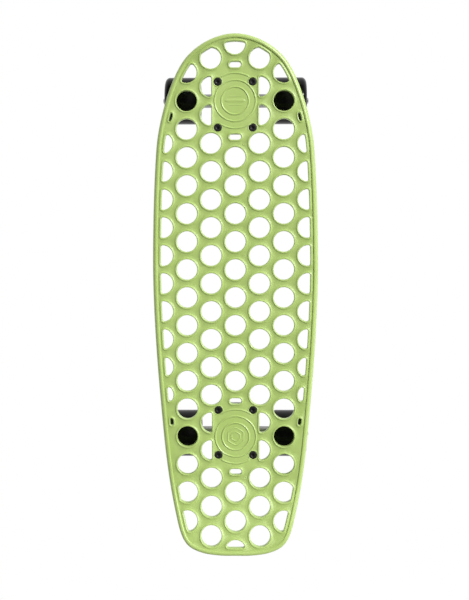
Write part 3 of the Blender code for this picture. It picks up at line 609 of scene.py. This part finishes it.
def hole_core(x, y, outline, rounding):
    """A lattice hole shrunk by its corner rounding: a circle, cut by the field's edge or a pad's side."""
    reach = HOLE_RADIUS - rounding
    centre = Vector((x, y))
    turns = (math.tau * k / HOLE_SIDES for k in range(HOLE_SIDES))
    core = [centre + reach * Vector((math.cos(a), math.sin(a))) for a in turns]
    for point, normal in outline:
        if (point - centre).length < 4 * HOLE_RADIUS:
            edge = point - normal * (FIELD_INSET + rounding)
            core = clipped(core, lambda p, e=edge, n=normal: (e - p).dot(n))
    for pad_y in PAD_CENTRES_Y:
        if abs(y - pad_y) < PAD_HALF_LENGTH and x:
            side = math.copysign(1, x)
            core = clipped(core, lambda p, s=side: s * p.x - PAD_HALF_WIDTH - rounding)
    tidy = []
    for point in core:
        if not tidy or (point - tidy[-1]).length > CLOSEST_POINTS:
            tidy.append(point)
    if len(tidy) > 1 and (tidy[0] - tidy[-1]).length <= CLOSEST_POINTS:
        tidy.pop()
    return tidy


def rim_of(core, rounding):
    """A hole's wall as (point, outward normal) pairs: the core's outline grown by the rounding."""
    rim = []
    count = len(core)
    for k, here in enumerate(core):
        before, after = core[k - 1], core[(k + 1) % count]
        arrive = math.atan2(here.y - before.y, here.x - before.x) - math.pi / 2
        leave = math.atan2(after.y - here.y, after.x - here.x) - math.pi / 2
        turn = (leave - arrive) % math.tau
        if turn > math.pi * 1.5:
            turn = 0.0
        steps = int(turn / WALL_TURN)
        angles = [arrive + turn / 2]
        if steps:
            angles = [arrive + turn * step / steps for step in range(steps + 1)]
        for angle in angles:
            normal = Vector((math.cos(angle), math.sin(angle)))
            rim.append((here + normal * rounding, normal))
        span = (after - here).length
        extra = int(span / LONGEST_WALL)
        normal = Vector((math.cos(leave), math.sin(leave)))
        for step in range(1, extra + 1):
            rim.append((here + (after - here) * step / (extra + 1) + normal * rounding, normal))
    return rim


def lattice_points():
    """Every place of the pattern that may hold a hole."""
    for column in LATTICE_COLUMNS:
        for row in LATTICE_ROWS:
            y = LATTICE_Y - LATTICE_PITCH * (row + (column % 2) / 2)
            beside_pad = min(abs(y - pad_y) for pad_y in PAD_CENTRES_Y) < PAD_HALF_LENGTH
            if column or not beside_pad:
                yield column * LATTICE_COLUMN, y


def deck_holes(outline):
    """(place, rim) of every lattice hole."""
    holes = []
    board = Region([point for point, _ in outline])
    for x, y in lattice_points():
        if not board.holds(Vector((x, y))):
            continue
        full = hole_core(x, y, outline, 0.0)
        if len(full) < 3 or area(full) <= SMALLEST_HOLE_AREA:
            continue
        for rounding in CORNER_ROUNDINGS:
            core = hole_core(x, y, outline, rounding)
            if len(core) > 2 and area(core) > SMALLEST_CORE_AREA:
                holes.append((Vector((x, y)), rim_of(core, rounding)))
                break
    return holes


def slot_rim(x, y):
    """The wall of a slot that lies across the board."""
    reach = (SLOT_LENGTH - SLOT_WIDTH) / 2
    return rim_of([Vector((x - reach, y)), Vector((x + reach, y))], SLOT_WIDTH / 2)


def screw_rim(centre):
    """A screw opening's wall. Its points all stand at the centre, so a section's distances are radii."""
    sides = 28
    turns = (math.tau * k / sides for k in range(sides))
    return [(centre, Vector((math.cos(a), math.sin(a)))) for a in turns]


def inside(loop, point):
    """Whether a point is inside a closed loop of points."""
    crossed = False
    for k, a in enumerate(loop):
        b = loop[k - 1]
        if (a.y > point.y) != (b.y > point.y):
            if point.x < a.x + (point.y - a.y) * (b.x - a.x) / (b.y - a.y):
                crossed = not crossed
    return crossed


class Region:
    """A closed loop with its box, for quick tests."""

    def __init__(self, loop):
        self.loop = loop
        self.low = Vector((min(p.x for p in loop), min(p.y for p in loop)))
        self.high = Vector((max(p.x for p in loop), max(p.y for p in loop)))

    def holds(self, point):
        near = self.low.x < point.x < self.high.x and self.low.y < point.y < self.high.y
        return near and inside(self.loop, point)


SCREW_PLACES = [(x * BOLT_SPACING_X / 2, y * BOLT_SPACING_Y / 2) for y in (1, -1) for x in (-1, 1)]


def screw_spots(placed):
    """A truck's four screws on the plane of the deck."""
    return [(placed @ Vector((x, y, 0))).xy for x, y in SCREW_PLACES]


def flat_cover(outer, holes):
    """Triangles between the outer loop and the holes' loops, with extra points that let them bend.

    Returns the points, the triangles and where each loop's points are among them.
    """
    points, edges, places = [], [], []
    for loop in (outer, *holes):
        first = len(points)
        points += loop
        count = len(loop)
        edges += [(first + k, first + (k + 1) % count) for k in range(count)]
        places.append(range(first, first + count))
    outer_region = Region(outer)
    hole_regions = [Region(loop) for loop in holes]
    grown = []
    for loop in holes:
        middle = sum(loop, Vector((0, 0))) / len(loop)
        grown.append(Region([p + (p - middle).normalized() * CLEAR_OF_HOLES for p in loop]))
    shrunk = Region([p * (1 - CLEAR_OF_OUTLINE / max(p.length, NEAREST_OUTLINE)) for p in outer])
    for row in COVER_ROWS:
        for column in COVER_COLUMNS:
            spot = Vector(((column + (row % 2) / 2) * COVER_PITCH, row * COVER_PITCH))
            if shrunk.holds(spot) and not any(region.holds(spot) for region in grown):
                points.append(spot)
    flat, _, faces, origins, _, _ = delaunay_2d_cdt(points, edges, [], 0, TRIANGULATION_SLACK)
    kept = []
    for face in faces:
        middle = sum((flat[k] for k in face), Vector((0, 0))) / len(face)
        if outer_region.holds(middle) and not any(region.holds(middle) for region in hole_regions):
            kept.append(face)
    where = {old: new for new, olds in enumerate(origins) for old in olds}
    return flat, kept, [[where[k] for k in place] for place in places]


def strip(shape, top, bottom, rings):
    """Quads from a loop of the upper cover, through the rings, to the same loop of the lower cover."""
    made = [top, *([shape.verts.new(p) for p in ring] for ring in rings), bottom]
    for first, second in zip(made, made[1:]):
        band(shape, first, second)


def make_deck(frames):
    """The moulding: two flat covers joined by the walls of every opening and by the outer edge, all bent."""
    outline = deck_outline()
    walls = [(rim, HOLE_SECTION, 1) for _, rim in deck_holes(outline)]
    for pad_y in PAD_CENTRES_Y:
        walls += [(slot_rim(0, pad_y + way * SLOT_FROM_PAD_CENTRE), HOLE_SECTION, 1) for way in (1, -1)]
    for placed in frames.values():
        walls += [(screw_rim(spot), SCREW_SECTION, 1) for spot in screw_spots(placed)]
    walls.insert(0, (outline, EDGE_SECTION, -1))

    def loop_at(rim, way, distance):
        return [point + normal * way * distance for point, normal in rim]

    starts = [loop_at(rim, way, section[0][0]) for rim, section, way in walls]
    flat, faces, places = flat_cover(starts[0], starts[1:])
    shape = bmesh.new()
    top = [shape.verts.new(bent(p, 0.0)) for p in flat]
    bottom = [shape.verts.new(bent(p, -PLATE_THICKNESS)) for p in flat]
    for face in faces:
        shape.faces.new([top[k] for k in face])
        shape.faces.new([bottom[k] for k in reversed(face)])
    for (rim, section, way), place in zip(walls, places):
        inner = section[1:-1]
        rings = [[bent(p, height) for p in loop_at(rim, way, distance)] for distance, height in inner]
        strip(shape, [top[k] for k in place], [bottom[k] for k in place], rings)
    return piece_of(shape, "moulded_deck", Matrix(), ("deck",), ("deck",))


def ridge(shape, path, closed, width, height):
    """A rounded ridge along a path on the deck's surface. Its open ends fade out over RIDGE_TAPER."""
    lengths = [0.0]
    for a, b in zip(path, path[1:]):
        lengths.append(lengths[-1] + (b - a).length)
    rings = []
    for k, point in enumerate(path):
        before = path[k - 1] if closed or k else point
        after = path[(k + 1) % len(path)] if closed or k + 1 < len(path) else point
        run = (after - before).normalized()
        across = Vector((run.y, -run.x))
        fade = 1.0
        if not closed:
            fade = min(1.0, min(lengths[k], lengths[-1] - lengths[k]) / RIDGE_TAPER)
            fade = math.sin(fade * math.pi / 2)
        narrow = 0.35 + 0.65 * fade
        ring = [bent(point + across * s * width * narrow, h * height * fade) for s, h in RIDGE_SECTION]
        foot = across * RIDGE_FOOT_SHARE * width
        ring += [bent(point + foot, RIDGE_FOOT), bent(point - foot, RIDGE_FOOT)]
        rings.append([shape.verts.new(p) for p in ring])
    pairs = list(zip(rings, rings[1:]))
    if closed:
        pairs.append((rings[-1], rings[0]))
    for first, second in pairs:
        band(shape, first, second)
    if not closed:
        shape.faces.new(rings[0])
        shape.faces.new(rings[-1])


def arc(centre, radius, start, end, steps):
    turns = (math.radians(start + (end - start) * k / steps) for k in range(steps + 1))
    return [centre + radius * Vector((math.cos(a), math.sin(a))) for a in turns]


def circle(centre, radius, steps=72):
    return arc(centre, radius, 0, 360, steps)[:-1]


def across_board(y, step, steps):
    """Points of a straight line across the board, from steps to the left to as many to the right."""
    return [Vector((k * step, y)) for k in range(-steps, steps + 1)]


def hexagon(centre, radius):
    """A hexagon's sides as points, with its corners left open so that a ridge along them is rounded."""
    turns = (math.radians(60 * k) for k in range(6))
    corners = [centre + radius * Vector((math.sin(a), math.cos(a))) for a in turns]
    path = []
    for a, b in zip(corners, corners[1:] + corners[:1]):
        path += [a + (b - a) * share for share in HEXAGON_SIDE_SHARES]
    return path


def make_pad_relief(frames):
    """Rings and screw rims on both pads, a bar and lines in front, hexagons at the rear, and marks."""
    shape = bmesh.new()
    front_centre, rear_centre = (Vector((0, pad_y)) for pad_y in PAD_CENTRES_Y)
    for centre in (front_centre, rear_centre):
        for radius in RING_RADII:
            ridge(shape, circle(centre, radius), True, *RING_RIDGE)
        for middle in (90, 270):
            inboard = (middle == 270) == (centre.y > 0)
            half_arc = INBOARD_HALF_ARC if inboard else OUTBOARD_HALF_ARC
            path = arc(centre, OUTER_RING_RADIUS, middle - half_arc, middle + half_arc, 30)
            ridge(shape, path, False, *RING_RIDGE)
    for placed in frames.values():
        for spot in screw_spots(placed):
            ridge(shape, circle(spot, SCREW_RIM_RADIUS, 32), True, *SCREW_RIM_RIDGE)
    bar_y = PAD_CENTRES_Y[0]
    ridge(shape, across_board(bar_y, BAR_STEP, BAR_STEPS), False, *BAR_RIDGE)
    for offset in LINES_FROM_BAR:
        ridge(shape, across_board(bar_y + offset, LINE_STEP, LINE_STEPS), False, *LINE_RIDGE)
    for radius in HEXAGON_RADII:
        ridge(shape, hexagon(rear_centre, radius), True, *HEXAGON_RIDGE)
    for spot in EJECTOR_MARKS:
        ridge(shape, circle(Vector(spot), MARK_RADIUS, 16), True, *MARK_RIDGE)
    return piece_of(shape, "deck_relief", Matrix(), ("deck",))


def bent_box(shape, corners, low, high):
    """A rib on four flat corners that follows the kicks. Its lower edge is drawn in a little."""
    middle = sum(corners, Vector((0, 0))) / 4
    draft = 0.86
    upper = [shape.verts.new(bent(p, high)) for p in corners]
    lower = [shape.verts.new(bent(middle + (p - middle) * draft, low)) for p in corners]
    shape.faces.new(upper)
    shape.faces.new(lower)
    band(shape, upper, lower)


def make_ribs():
    """Honeycomb ribs between the holes."""
    outline = deck_outline()
    ribs = bmesh.new()
    places = [place for place, _ in deck_holes(outline)]
    field = Region([point - normal * SKIRT_WIDTH for point, normal in outline])
    half_length = LATTICE_PITCH / (2 * math.sqrt(3)) - 0.0004
    half_thickness, rib_low = 0.0009, -0.0080
    for k, first in enumerate(places):
        for second in places[k + 1 :]:
            between = second - first
            if between.length > LATTICE_PITCH * 1.05:
                continue
            middle = (first + second) / 2
            run = Vector((-between.y, between.x)).normalized() * half_length
            if not (field.holds(middle + run) and field.holds(middle - run)):
                continue
            across = between.normalized() * half_thickness
            corners = [middle + run + across, middle - run + across]
            corners += [middle - run - across, middle + run - across]
            bent_box(ribs, corners, rib_low, -PLATE_THICKNESS + 0.0006)
    piece_of(ribs, "underside_ribs", Matrix(), ("deck",), sharp=20)


def make_truck_pads():
    """The thick blocks under the deck that carry the trucks, with cut corners and chamfers."""
    steps, chamfer, corner_cut = 12, 0.0009, 0.0055
    for end, pad_y in zip(("front", "rear"), PAD_CENTRES_Y):
        block = bmesh.new()
        full_width = PAD_HALF_WIDTH - 0.00015
        rows = []
        for k in range(steps + 1):
            along_pad = PAD_HALF_LENGTH * (2 * k / steps - 1)
            y = pad_y + along_pad
            width = full_width - max(0.0, corner_cut - (PAD_HALF_LENGTH - abs(along_pad)))
            lift = chamfer if k in (0, steps) else 0.0
            high = SURFACE_Z + kick(y) - 0.0030
            low = UNDERSIDE_Z + lift
            section = [(-width, high), (-width, low + chamfer), (-width + chamfer, low)]
            section += [(-x, z) for x, z in reversed(section)]
            rows.append([block.verts.new((x, y, z)) for x, z in section])
        for first, second in zip(rows, rows[1:]):
            band(block, first, second)
        block.faces.new(rows[0])
        block.faces.new(rows[-1])
        piece_of(block, f"{end}_truck_pad", Matrix(), ("deck",), sharp=30)


# ---- Fasteners ----


def socket_screw():
    """A countersunk screw with a hexagon socket and a threaded end, its head just under z = 0."""
    shape = bmesh.new()
    turns = [math.tau * k / 36 for k in range(36)]
    top, shank, end = -GAP, SCREW_RADIUS, -0.0225

    def ring(radius, z):
        return [(radius * math.cos(a), radius * math.sin(a), z) for a in turns]

    def socket(across, z):
        reaches = [(hexagon_reach(a, across), a) for a in turns]
        return [(reach * math.cos(a), reach * math.sin(a), z) for reach, a in reaches]

    rings = [socket(0.0014, top - 0.0017), socket(0.00150, top - 0.0003), ring(0.00200, top - 0.00012)]
    rings += [ring(0.00245, top), ring(0.00425, top), ring(0.00450, top - 0.00012)]
    rings += [ring(0.00460, top - 0.0003), ring(shank + 0.0001, -0.0025), ring(shank, -0.0028)]
    thread = threaded(shank, -0.0140, end, 0.0008, 0.00028)
    rings += [ring(radius, z) for radius, z in thread]
    rings.append(ring(shank - 0.0004, end - 0.0002))
    made = rings_joined(shape, rings)
    shape.faces.new(made[0])
    shape.faces.new(made[-1])
    return shape


def make_fasteners(end, placed):
    """A truck's four deck screws, and the lock nuts under its baseplate."""
    nut_top = -(GAP + PLATE_HEIGHT + GAP)
    for number, (x, y) in enumerate(SCREW_PLACES, start=1):
        screw, nut = f"{end}_deck_screw_{number}", f"{end}_lock_nut_{number}"
        at = placed @ Matrix.Translation((x, y, PAD_THICKNESS))
        piece_of(socket_screw(), f"socket_{screw}", at, ("black",), (screw,))
        at = placed @ Matrix.Translation((x, y, nut_top)) @ Matrix.Rotation(math.pi, 4, "X")
        shape = hex_nut(*LOCK_NUT)
        looks = ("black", "collar")
        piece_of(shape, f"detailed_{nut}", at, looks, (nut,))


# ---- Trucks ----


def soften_casting(node):
    """A CAD casting with its edges and joins melted into fillets, and the cast finish."""
    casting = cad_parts[node]
    remesh = casting.modifiers.new("skin", "REMESH")
    remesh.mode = "VOXEL"
    remesh.voxel_size = 0.00065
    remesh.use_smooth_shade = True
    smooth = casting.modifiers.new("fillets", "SMOOTH")
    smooth.factor = 0.5
    smooth.iterations = 7
    repaint(node, "cast")


def repaint(node, look):
    """Another look for a CAD node."""
    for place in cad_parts[node].material_slots:
        place.link = "OBJECT"
        place.material = LOOKS[look]


def cup_washer(rim, base, towards):
    """A washer with a turned-up rim, from its flat base towards the bushing it holds."""
    sheet, depth = CUP_WASHER_SHEET, CUP_WASHER_THICKNESS
    profile = [(BORE, 0), (rim - 0.0009, 0), (rim, depth * 0.55), (rim, depth), (rim - 0.0006, depth)]
    profile += [(rim - 0.0014, sheet), (BORE, sheet)]
    return lathe([(r, base + z * towards) for r, z in softened(profile, 0.0003, True)], 64, True)


def make_bushing(end, at, place, form, profile):
    """A rubber bushing, turned about the kingpin's axis, with its place baked into its mesh."""
    shape = lathe(softened(profile, 0.0006, True), 64, True)
    name = f"{end}_{place}_{form}_bushing"
    made = piece_of(shape, name, at, ("rubber",), (f"{end}_{place}_bushing",), None)
    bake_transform(made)


def make_kingpin_stack(end, placed):
    """The kingpin, its nut, the two cup washers and the two bushings, on the kingpin's axis."""
    at = placed @ along(KINGPIN_AXIS, RING_AT)
    radius, head, head_height = 0.0040, 0.0070, 0.0045
    pin = [(0, KINGPIN_END), (radius - 0.0007, KINGPIN_END)]
    pin += threaded(radius, KINGPIN_END + 0.0003, LOWER_WASHER_HIGH)
    pin += [(radius, LOWER_WASHER_HIGH + 0.0004), (radius, HEAD_LOW), (0.0066, HEAD_LOW)]
    pin.append((head, HEAD_LOW + 0.0004))
    pin += [(head, HEAD_LOW + 0.0040), (0.0062, HEAD_LOW + head_height), (0, HEAD_LOW + head_height)]
    piece_of(lathe(pin, 40), f"{end}_threaded_kingpin", at, ("steel",),
             (f"{end}_kingpin",))
    nut_top = Matrix.Translation((0, 0, KINGPIN_NUT_LOW + KINGPIN_NUT_HEIGHT))
    nut_at = at @ nut_top @ Matrix.Rotation(math.pi, 4, "X")
    piece_of(hex_nut(*KINGPIN_NUT), f"{end}_locking_kingpin_nut", nut_at, ("steel", "collar"),
             (f"{end}_kingpin_nut",))
    upper = cup_washer(0.0118, UPPER_WASHER_LOW + CUP_WASHER_THICKNESS, -1)
    piece_of(upper, f"{end}_upper_dished_washer", at, ("steel",),
             (f"{end}_upper_cup_washer",))
    lower = cup_washer(0.0100, LOWER_WASHER_HIGH - CUP_WASHER_THICKNESS, 1)
    piece_of(lower, f"{end}_lower_dished_washer", at, ("steel",),
             (f"{end}_lower_cup_washer",))
    low, high = UPPER_BUSHING_LOW, UPPER_BUSHING_HIGH
    barrel = [(BUSHING_BORE, low), (0.0116, low), (0.0120, low + 0.0020), (0.0118, (low + high) / 2)]
    barrel += [(0.0120, high - 0.0045), (0.0110, high - 0.0016), (0.0102, high - 0.0004)]
    barrel.append((BUSHING_BORE, high - 0.0004))
    make_bushing(end, at, "upper", "barrel", barrel)
    low = LOWER_BUSHING_LOW
    high = low + LOWER_BUSHING_HEIGHT
    cone = [(BUSHING_BORE, low + 0.0004), (0.0085, low + 0.0004), (0.0093, low + 0.0014)]
    cone += [(0.0108, low + 0.0045), (0.0119, high - 0.0028), (0.0119, high), (BUSHING_BORE, high)]
    make_bushing(end, at, "lower", "cone", cone)


def make_pivot_cup(end, placed):
    """The cup in the baseplate that holds the hanger's pivot, on the steering axis."""
    inner, outer, mouth, floor = 0.0055, 0.0076, 0.0335, 0.0442
    back = floor + 0.0021
    profile = [(0, floor), (inner, floor), (inner, mouth + 0.0004), (inner + 0.0004, mouth)]
    profile += [(outer - 0.0004, mouth), (outer, mouth + 0.0004), (outer, back), (0, back)]
    at = placed @ along(STEER_AXIS, RING_AT)
    piece_of(lathe(profile, 48), f"{end}_turned_pivot_cup", at, ("nylon",),
             (f"{end}_pivot_cup",))


def make_axle(end, placed):
    """One axle through the hanger, plain inside the wheels and threaded at both ends."""
    radius, length = AXLE_RADIUS, AXLE_HALF_LENGTH
    plain = WHEEL_X + SPACER_LENGTH / 2 + BEARING_WIDTH
    half = [(radius, 0.0), (radius, plain)]
    half += threaded(radius, plain + 0.0004, length - 0.0009)
    half += [(radius - 0.0009, length), (0.0012, length), (0.0009, length - 0.0004), (0, length - 0.0006)]
    profile = [(r, -z) for r, z in reversed(half)] + half[1:]
    at = placed @ along(Vector((1, 0, 0)), AXLE_AT)
    piece_of(lathe(profile, 40), f"{end}_threaded_axle", at, ("axle",), (f"{end}_axle",),
             f"{end}_hanger_assembly")


def wheel_shape():
    """One wheel about Z: rounded shoulders, a shallow step in the dish, and a bearing seat in each side."""
    seat_floor = SPACER_LENGTH / 2 - GAP
    mouth = SPACER_LENGTH / 2 + BEARING_WIDTH + 0.0004
    half_width, radius = WHEEL_HALF_WIDTH, WHEEL_RADIUS
    seat, lip, steps = 0.0113, 0.0092, 12
    side = [(lip, seat_floor), (seat, seat_floor), (seat, mouth - 0.0004)]
    side += [(seat + 0.0004, mouth), (0.0131, mouth), (0.0136, mouth + 0.0005)]
    side += [(0.0138, 0.0176), (0.0143, 0.0183), (0.0160, 0.0201), (0.0164, 0.0200), (0.0168, 0.0207)]
    side += [(0.0180, 0.0216), (0.0190, half_width)]
    for step in range(steps + 1):
        a = math.radians(90 * step / steps)
        reach, depth = 0.0080 * (1 - math.sin(a)), 0.0060 * (1 - math.cos(a))
        side.append((radius - reach, half_width - depth))
    side += [(radius, 0.0060), (radius, 0.0003)]
    return lathe(side + [(r, -z) for r, z in reversed(side)], 96, True)


def bearing_shape():
    """A sealed ball bearing about Z: two rings with rounded edges and a recessed seal in each face."""
    half, outer, bore = BEARING_WIDTH / 2, 0.0110, AXLE_BORE
    face = [(bore, half - 0.0003), (bore + 0.0003, half), (0.0058, half), (0.0060, half - 0.0002)]
    face += [(0.0061, half - 0.00055), (0.0065, half - 0.00045), (0.0088, half - 0.00035)]
    face += [(0.0091, half - 0.0005), (0.0092, half - 0.0002), (0.0094, half), (outer - 0.0004, half)]
    face.append((outer, half - 0.0004))
    profile = face + [(r, -z) for r, z in reversed(face)]
    return lathe(profile, 56, True, lambda r, z: 0.00605 < r < 0.00905 and abs(z) > half - 0.0009)


def make_wheels(end, placed):
    """A truck's two wheels with their bearings, and the washers and nuts that hold them on the axle."""
    middle = (SPACER_LENGTH + BEARING_WIDTH) / 2
    washer_at = SPACER_LENGTH / 2 + BEARING_WIDTH + GAP
    nut_at = washer_at + SPEED_WASHER + GAP
    rim, thin = 0.0065, 0.0007
    washer = [(AXLE_BORE, 0), (rim, 0), (rim, SPEED_WASHER), (AXLE_BORE, SPEED_WASHER)]
    washer = softened(washer, 0.0002, True)
    inner_washer = [(radius, z * 0.7) for radius, z in washer]
    for side, way in (("left", -1), ("right", 1)):
        local_way = way if end == "front" else -way
        name = f"{end}_{side}"
        centre = AXLE_AT + Vector((local_way * WHEEL_X, 0, 0))
        hub = placed @ along(Vector((local_way, 0, 0)), centre)
        rolling, steering = f"{name}_wheel_assembly", f"{end}_hanger_assembly"
        piece_of(wheel_shape(), f"{name}_cast_wheel", hub, ("wheel",), (f"{name}_wheel",), rolling)
        for place, z in (("inner", -middle), ("outer", middle)):
            piece_of(bearing_shape(), f"{name}_{place}_sealed_bearing", hub @ Matrix.Translation((0, 0, z)),
                     ("steel", "seal"), (f"{name}_{place}_bearing",), rolling)
        at = hub @ Matrix.Translation((0, 0, washer_at))
        piece_of(lathe(washer, 40, True), f"{name}_outer_speed_washer", at, ("steel",),
                 (f"{name}_axle_washer",), steering)
        at = hub @ Matrix.Translation((0, 0, -washer_at - thin + 0.0001))
        shape = lathe(inner_washer, 40, True)
        piece_of(shape, f"{name}_inner_speed_washer", at, ("steel",), body=steering)
        at = hub @ Matrix.Translation((0, 0, nut_at))
        piece_of(hex_nut(*AXLE_NUT), f"{name}_locking_axle_nut", at, ("steel", "collar"),
                 (f"{name}_axle_nut",), steering)


# ---- Studio ----


def make_camera():
    camera = bpy.data.objects.new("camera", bpy.data.cameras.new("camera"))
    camera.data.sensor_width = SENSOR_MM
    camera.data.lens = FOCAL_PIXELS / LONG_SIDE_PIXELS * SENSOR_MM
    camera.data.shift_y = CAMERA_SHIFT_Y
    camera.location = CAMERA_AT
    camera.rotation_euler = [math.radians(turn) for turn in CAMERA_TURN]
    SCENE.collection.objects.link(camera)
    SCENE.camera = camera


def make_floor():
    """A white floor that glows by itself and takes no light, as a light table does."""
    mesh = bpy.data.meshes.new("floor")
    reach = 60.0
    corners = [(-reach, -reach, 0), (reach, -reach, 0), (reach, reach, 0), (-reach, reach, 0)]
    mesh.from_pydata(corners, [], [(0, 1, 2, 3)])
    floor = bpy.data.objects.new("floor", mesh)
    SCENE.collection.objects.link(floor)
    nodes = Nodes("pale_floor")
    nodes.put(Base_Color=(0.0, 0.0, 0.0, 1.0), Specular_IOR_Level=0.0)
    nodes.put(Emission_Color=(1.0, 1.0, 1.0, 1.0), Emission_Strength=1.0)
    mesh.materials.append(nodes.material)


def make_backdrop():
    """A backdrop that is pale at the horizon and darker above."""
    world = bpy.data.worlds.new("studio")
    world.use_nodes = True
    tree = world.node_tree
    background = tree.nodes["Background"]
    background.inputs["Color"].default_value = (1.0, 1.0, 1.0, 1.0)
    direction = tree.nodes.new("ShaderNodeTexCoord")
    parts = tree.nodes.new("ShaderNodeSeparateXYZ")
    fade = tree.nodes.new("ShaderNodeMapRange")
    for name, number in (("From Min", 0.03), ("From Max", 0.24), ("To Min", 0.90), ("To Max", 0.11)):
        fade.inputs[name].default_value = number
    tree.links.new(direction.outputs["Generated"], parts.inputs[0])
    tree.links.new(parts.outputs["Z"], fade.inputs["Value"])
    tree.links.new(fade.outputs["Result"], background.inputs["Strength"])
    SCENE.world = world


def make_lights():
    """A distant key light from the nose end on the right, and a weak, broad fill from the left."""
    key = bpy.data.objects.new("key", bpy.data.lights.new("key", "SUN"))
    key.data.energy = 3.95
    key.data.angle = math.radians(12)
    key.rotation_euler = Vector((4.0, 2.7, 4.8)).to_track_quat("Z", "Y").to_euler()
    SCENE.collection.objects.link(key)
    fill = bpy.data.objects.new("fill", bpy.data.lights.new("fill", "AREA"))
    fill.data.shape = "DISK"
    fill.data.size = 1.6
    fill.data.energy = 3
    fill.location = (-1.4, -0.6, 1.8)
    aim = Vector((0, 0, 0.08)) - Vector((-1.4, -0.6, 1.8))
    fill.rotation_euler = aim.to_track_quat("-Z", "Y").to_euler()
    SCENE.collection.objects.link(fill)


def make_studio():
    make_floor()
    make_backdrop()
    make_lights()
    SCENE.view_settings.view_transform = "Standard"


def main():
    frames = {}
    for end, pad_y, way in (("front", PAD_CENTRES_Y[0], 1), ("rear", PAD_CENTRES_Y[1], -1)):
        at = Vector((0, pad_y - way * PATTERN_FROM_PAD_CENTRE, UNDERSIDE_Z))
        frames[end] = Matrix.Translation(at) @ Matrix.Rotation(0 if way == 1 else math.pi, 4, "Z")
    make_deck(frames)
    make_pad_relief(frames)
    make_ribs()
    make_truck_pads()
    for end, placed in frames.items():
        make_fasteners(end, placed)
        soften_casting(f"{end}_baseplate")
        soften_casting(f"{end}_hanger")
        make_kingpin_stack(end, placed)
        make_pivot_cup(end, placed)
        make_axle(end, placed)
        make_wheels(end, placed)
    make_camera()
    make_studio()


main()
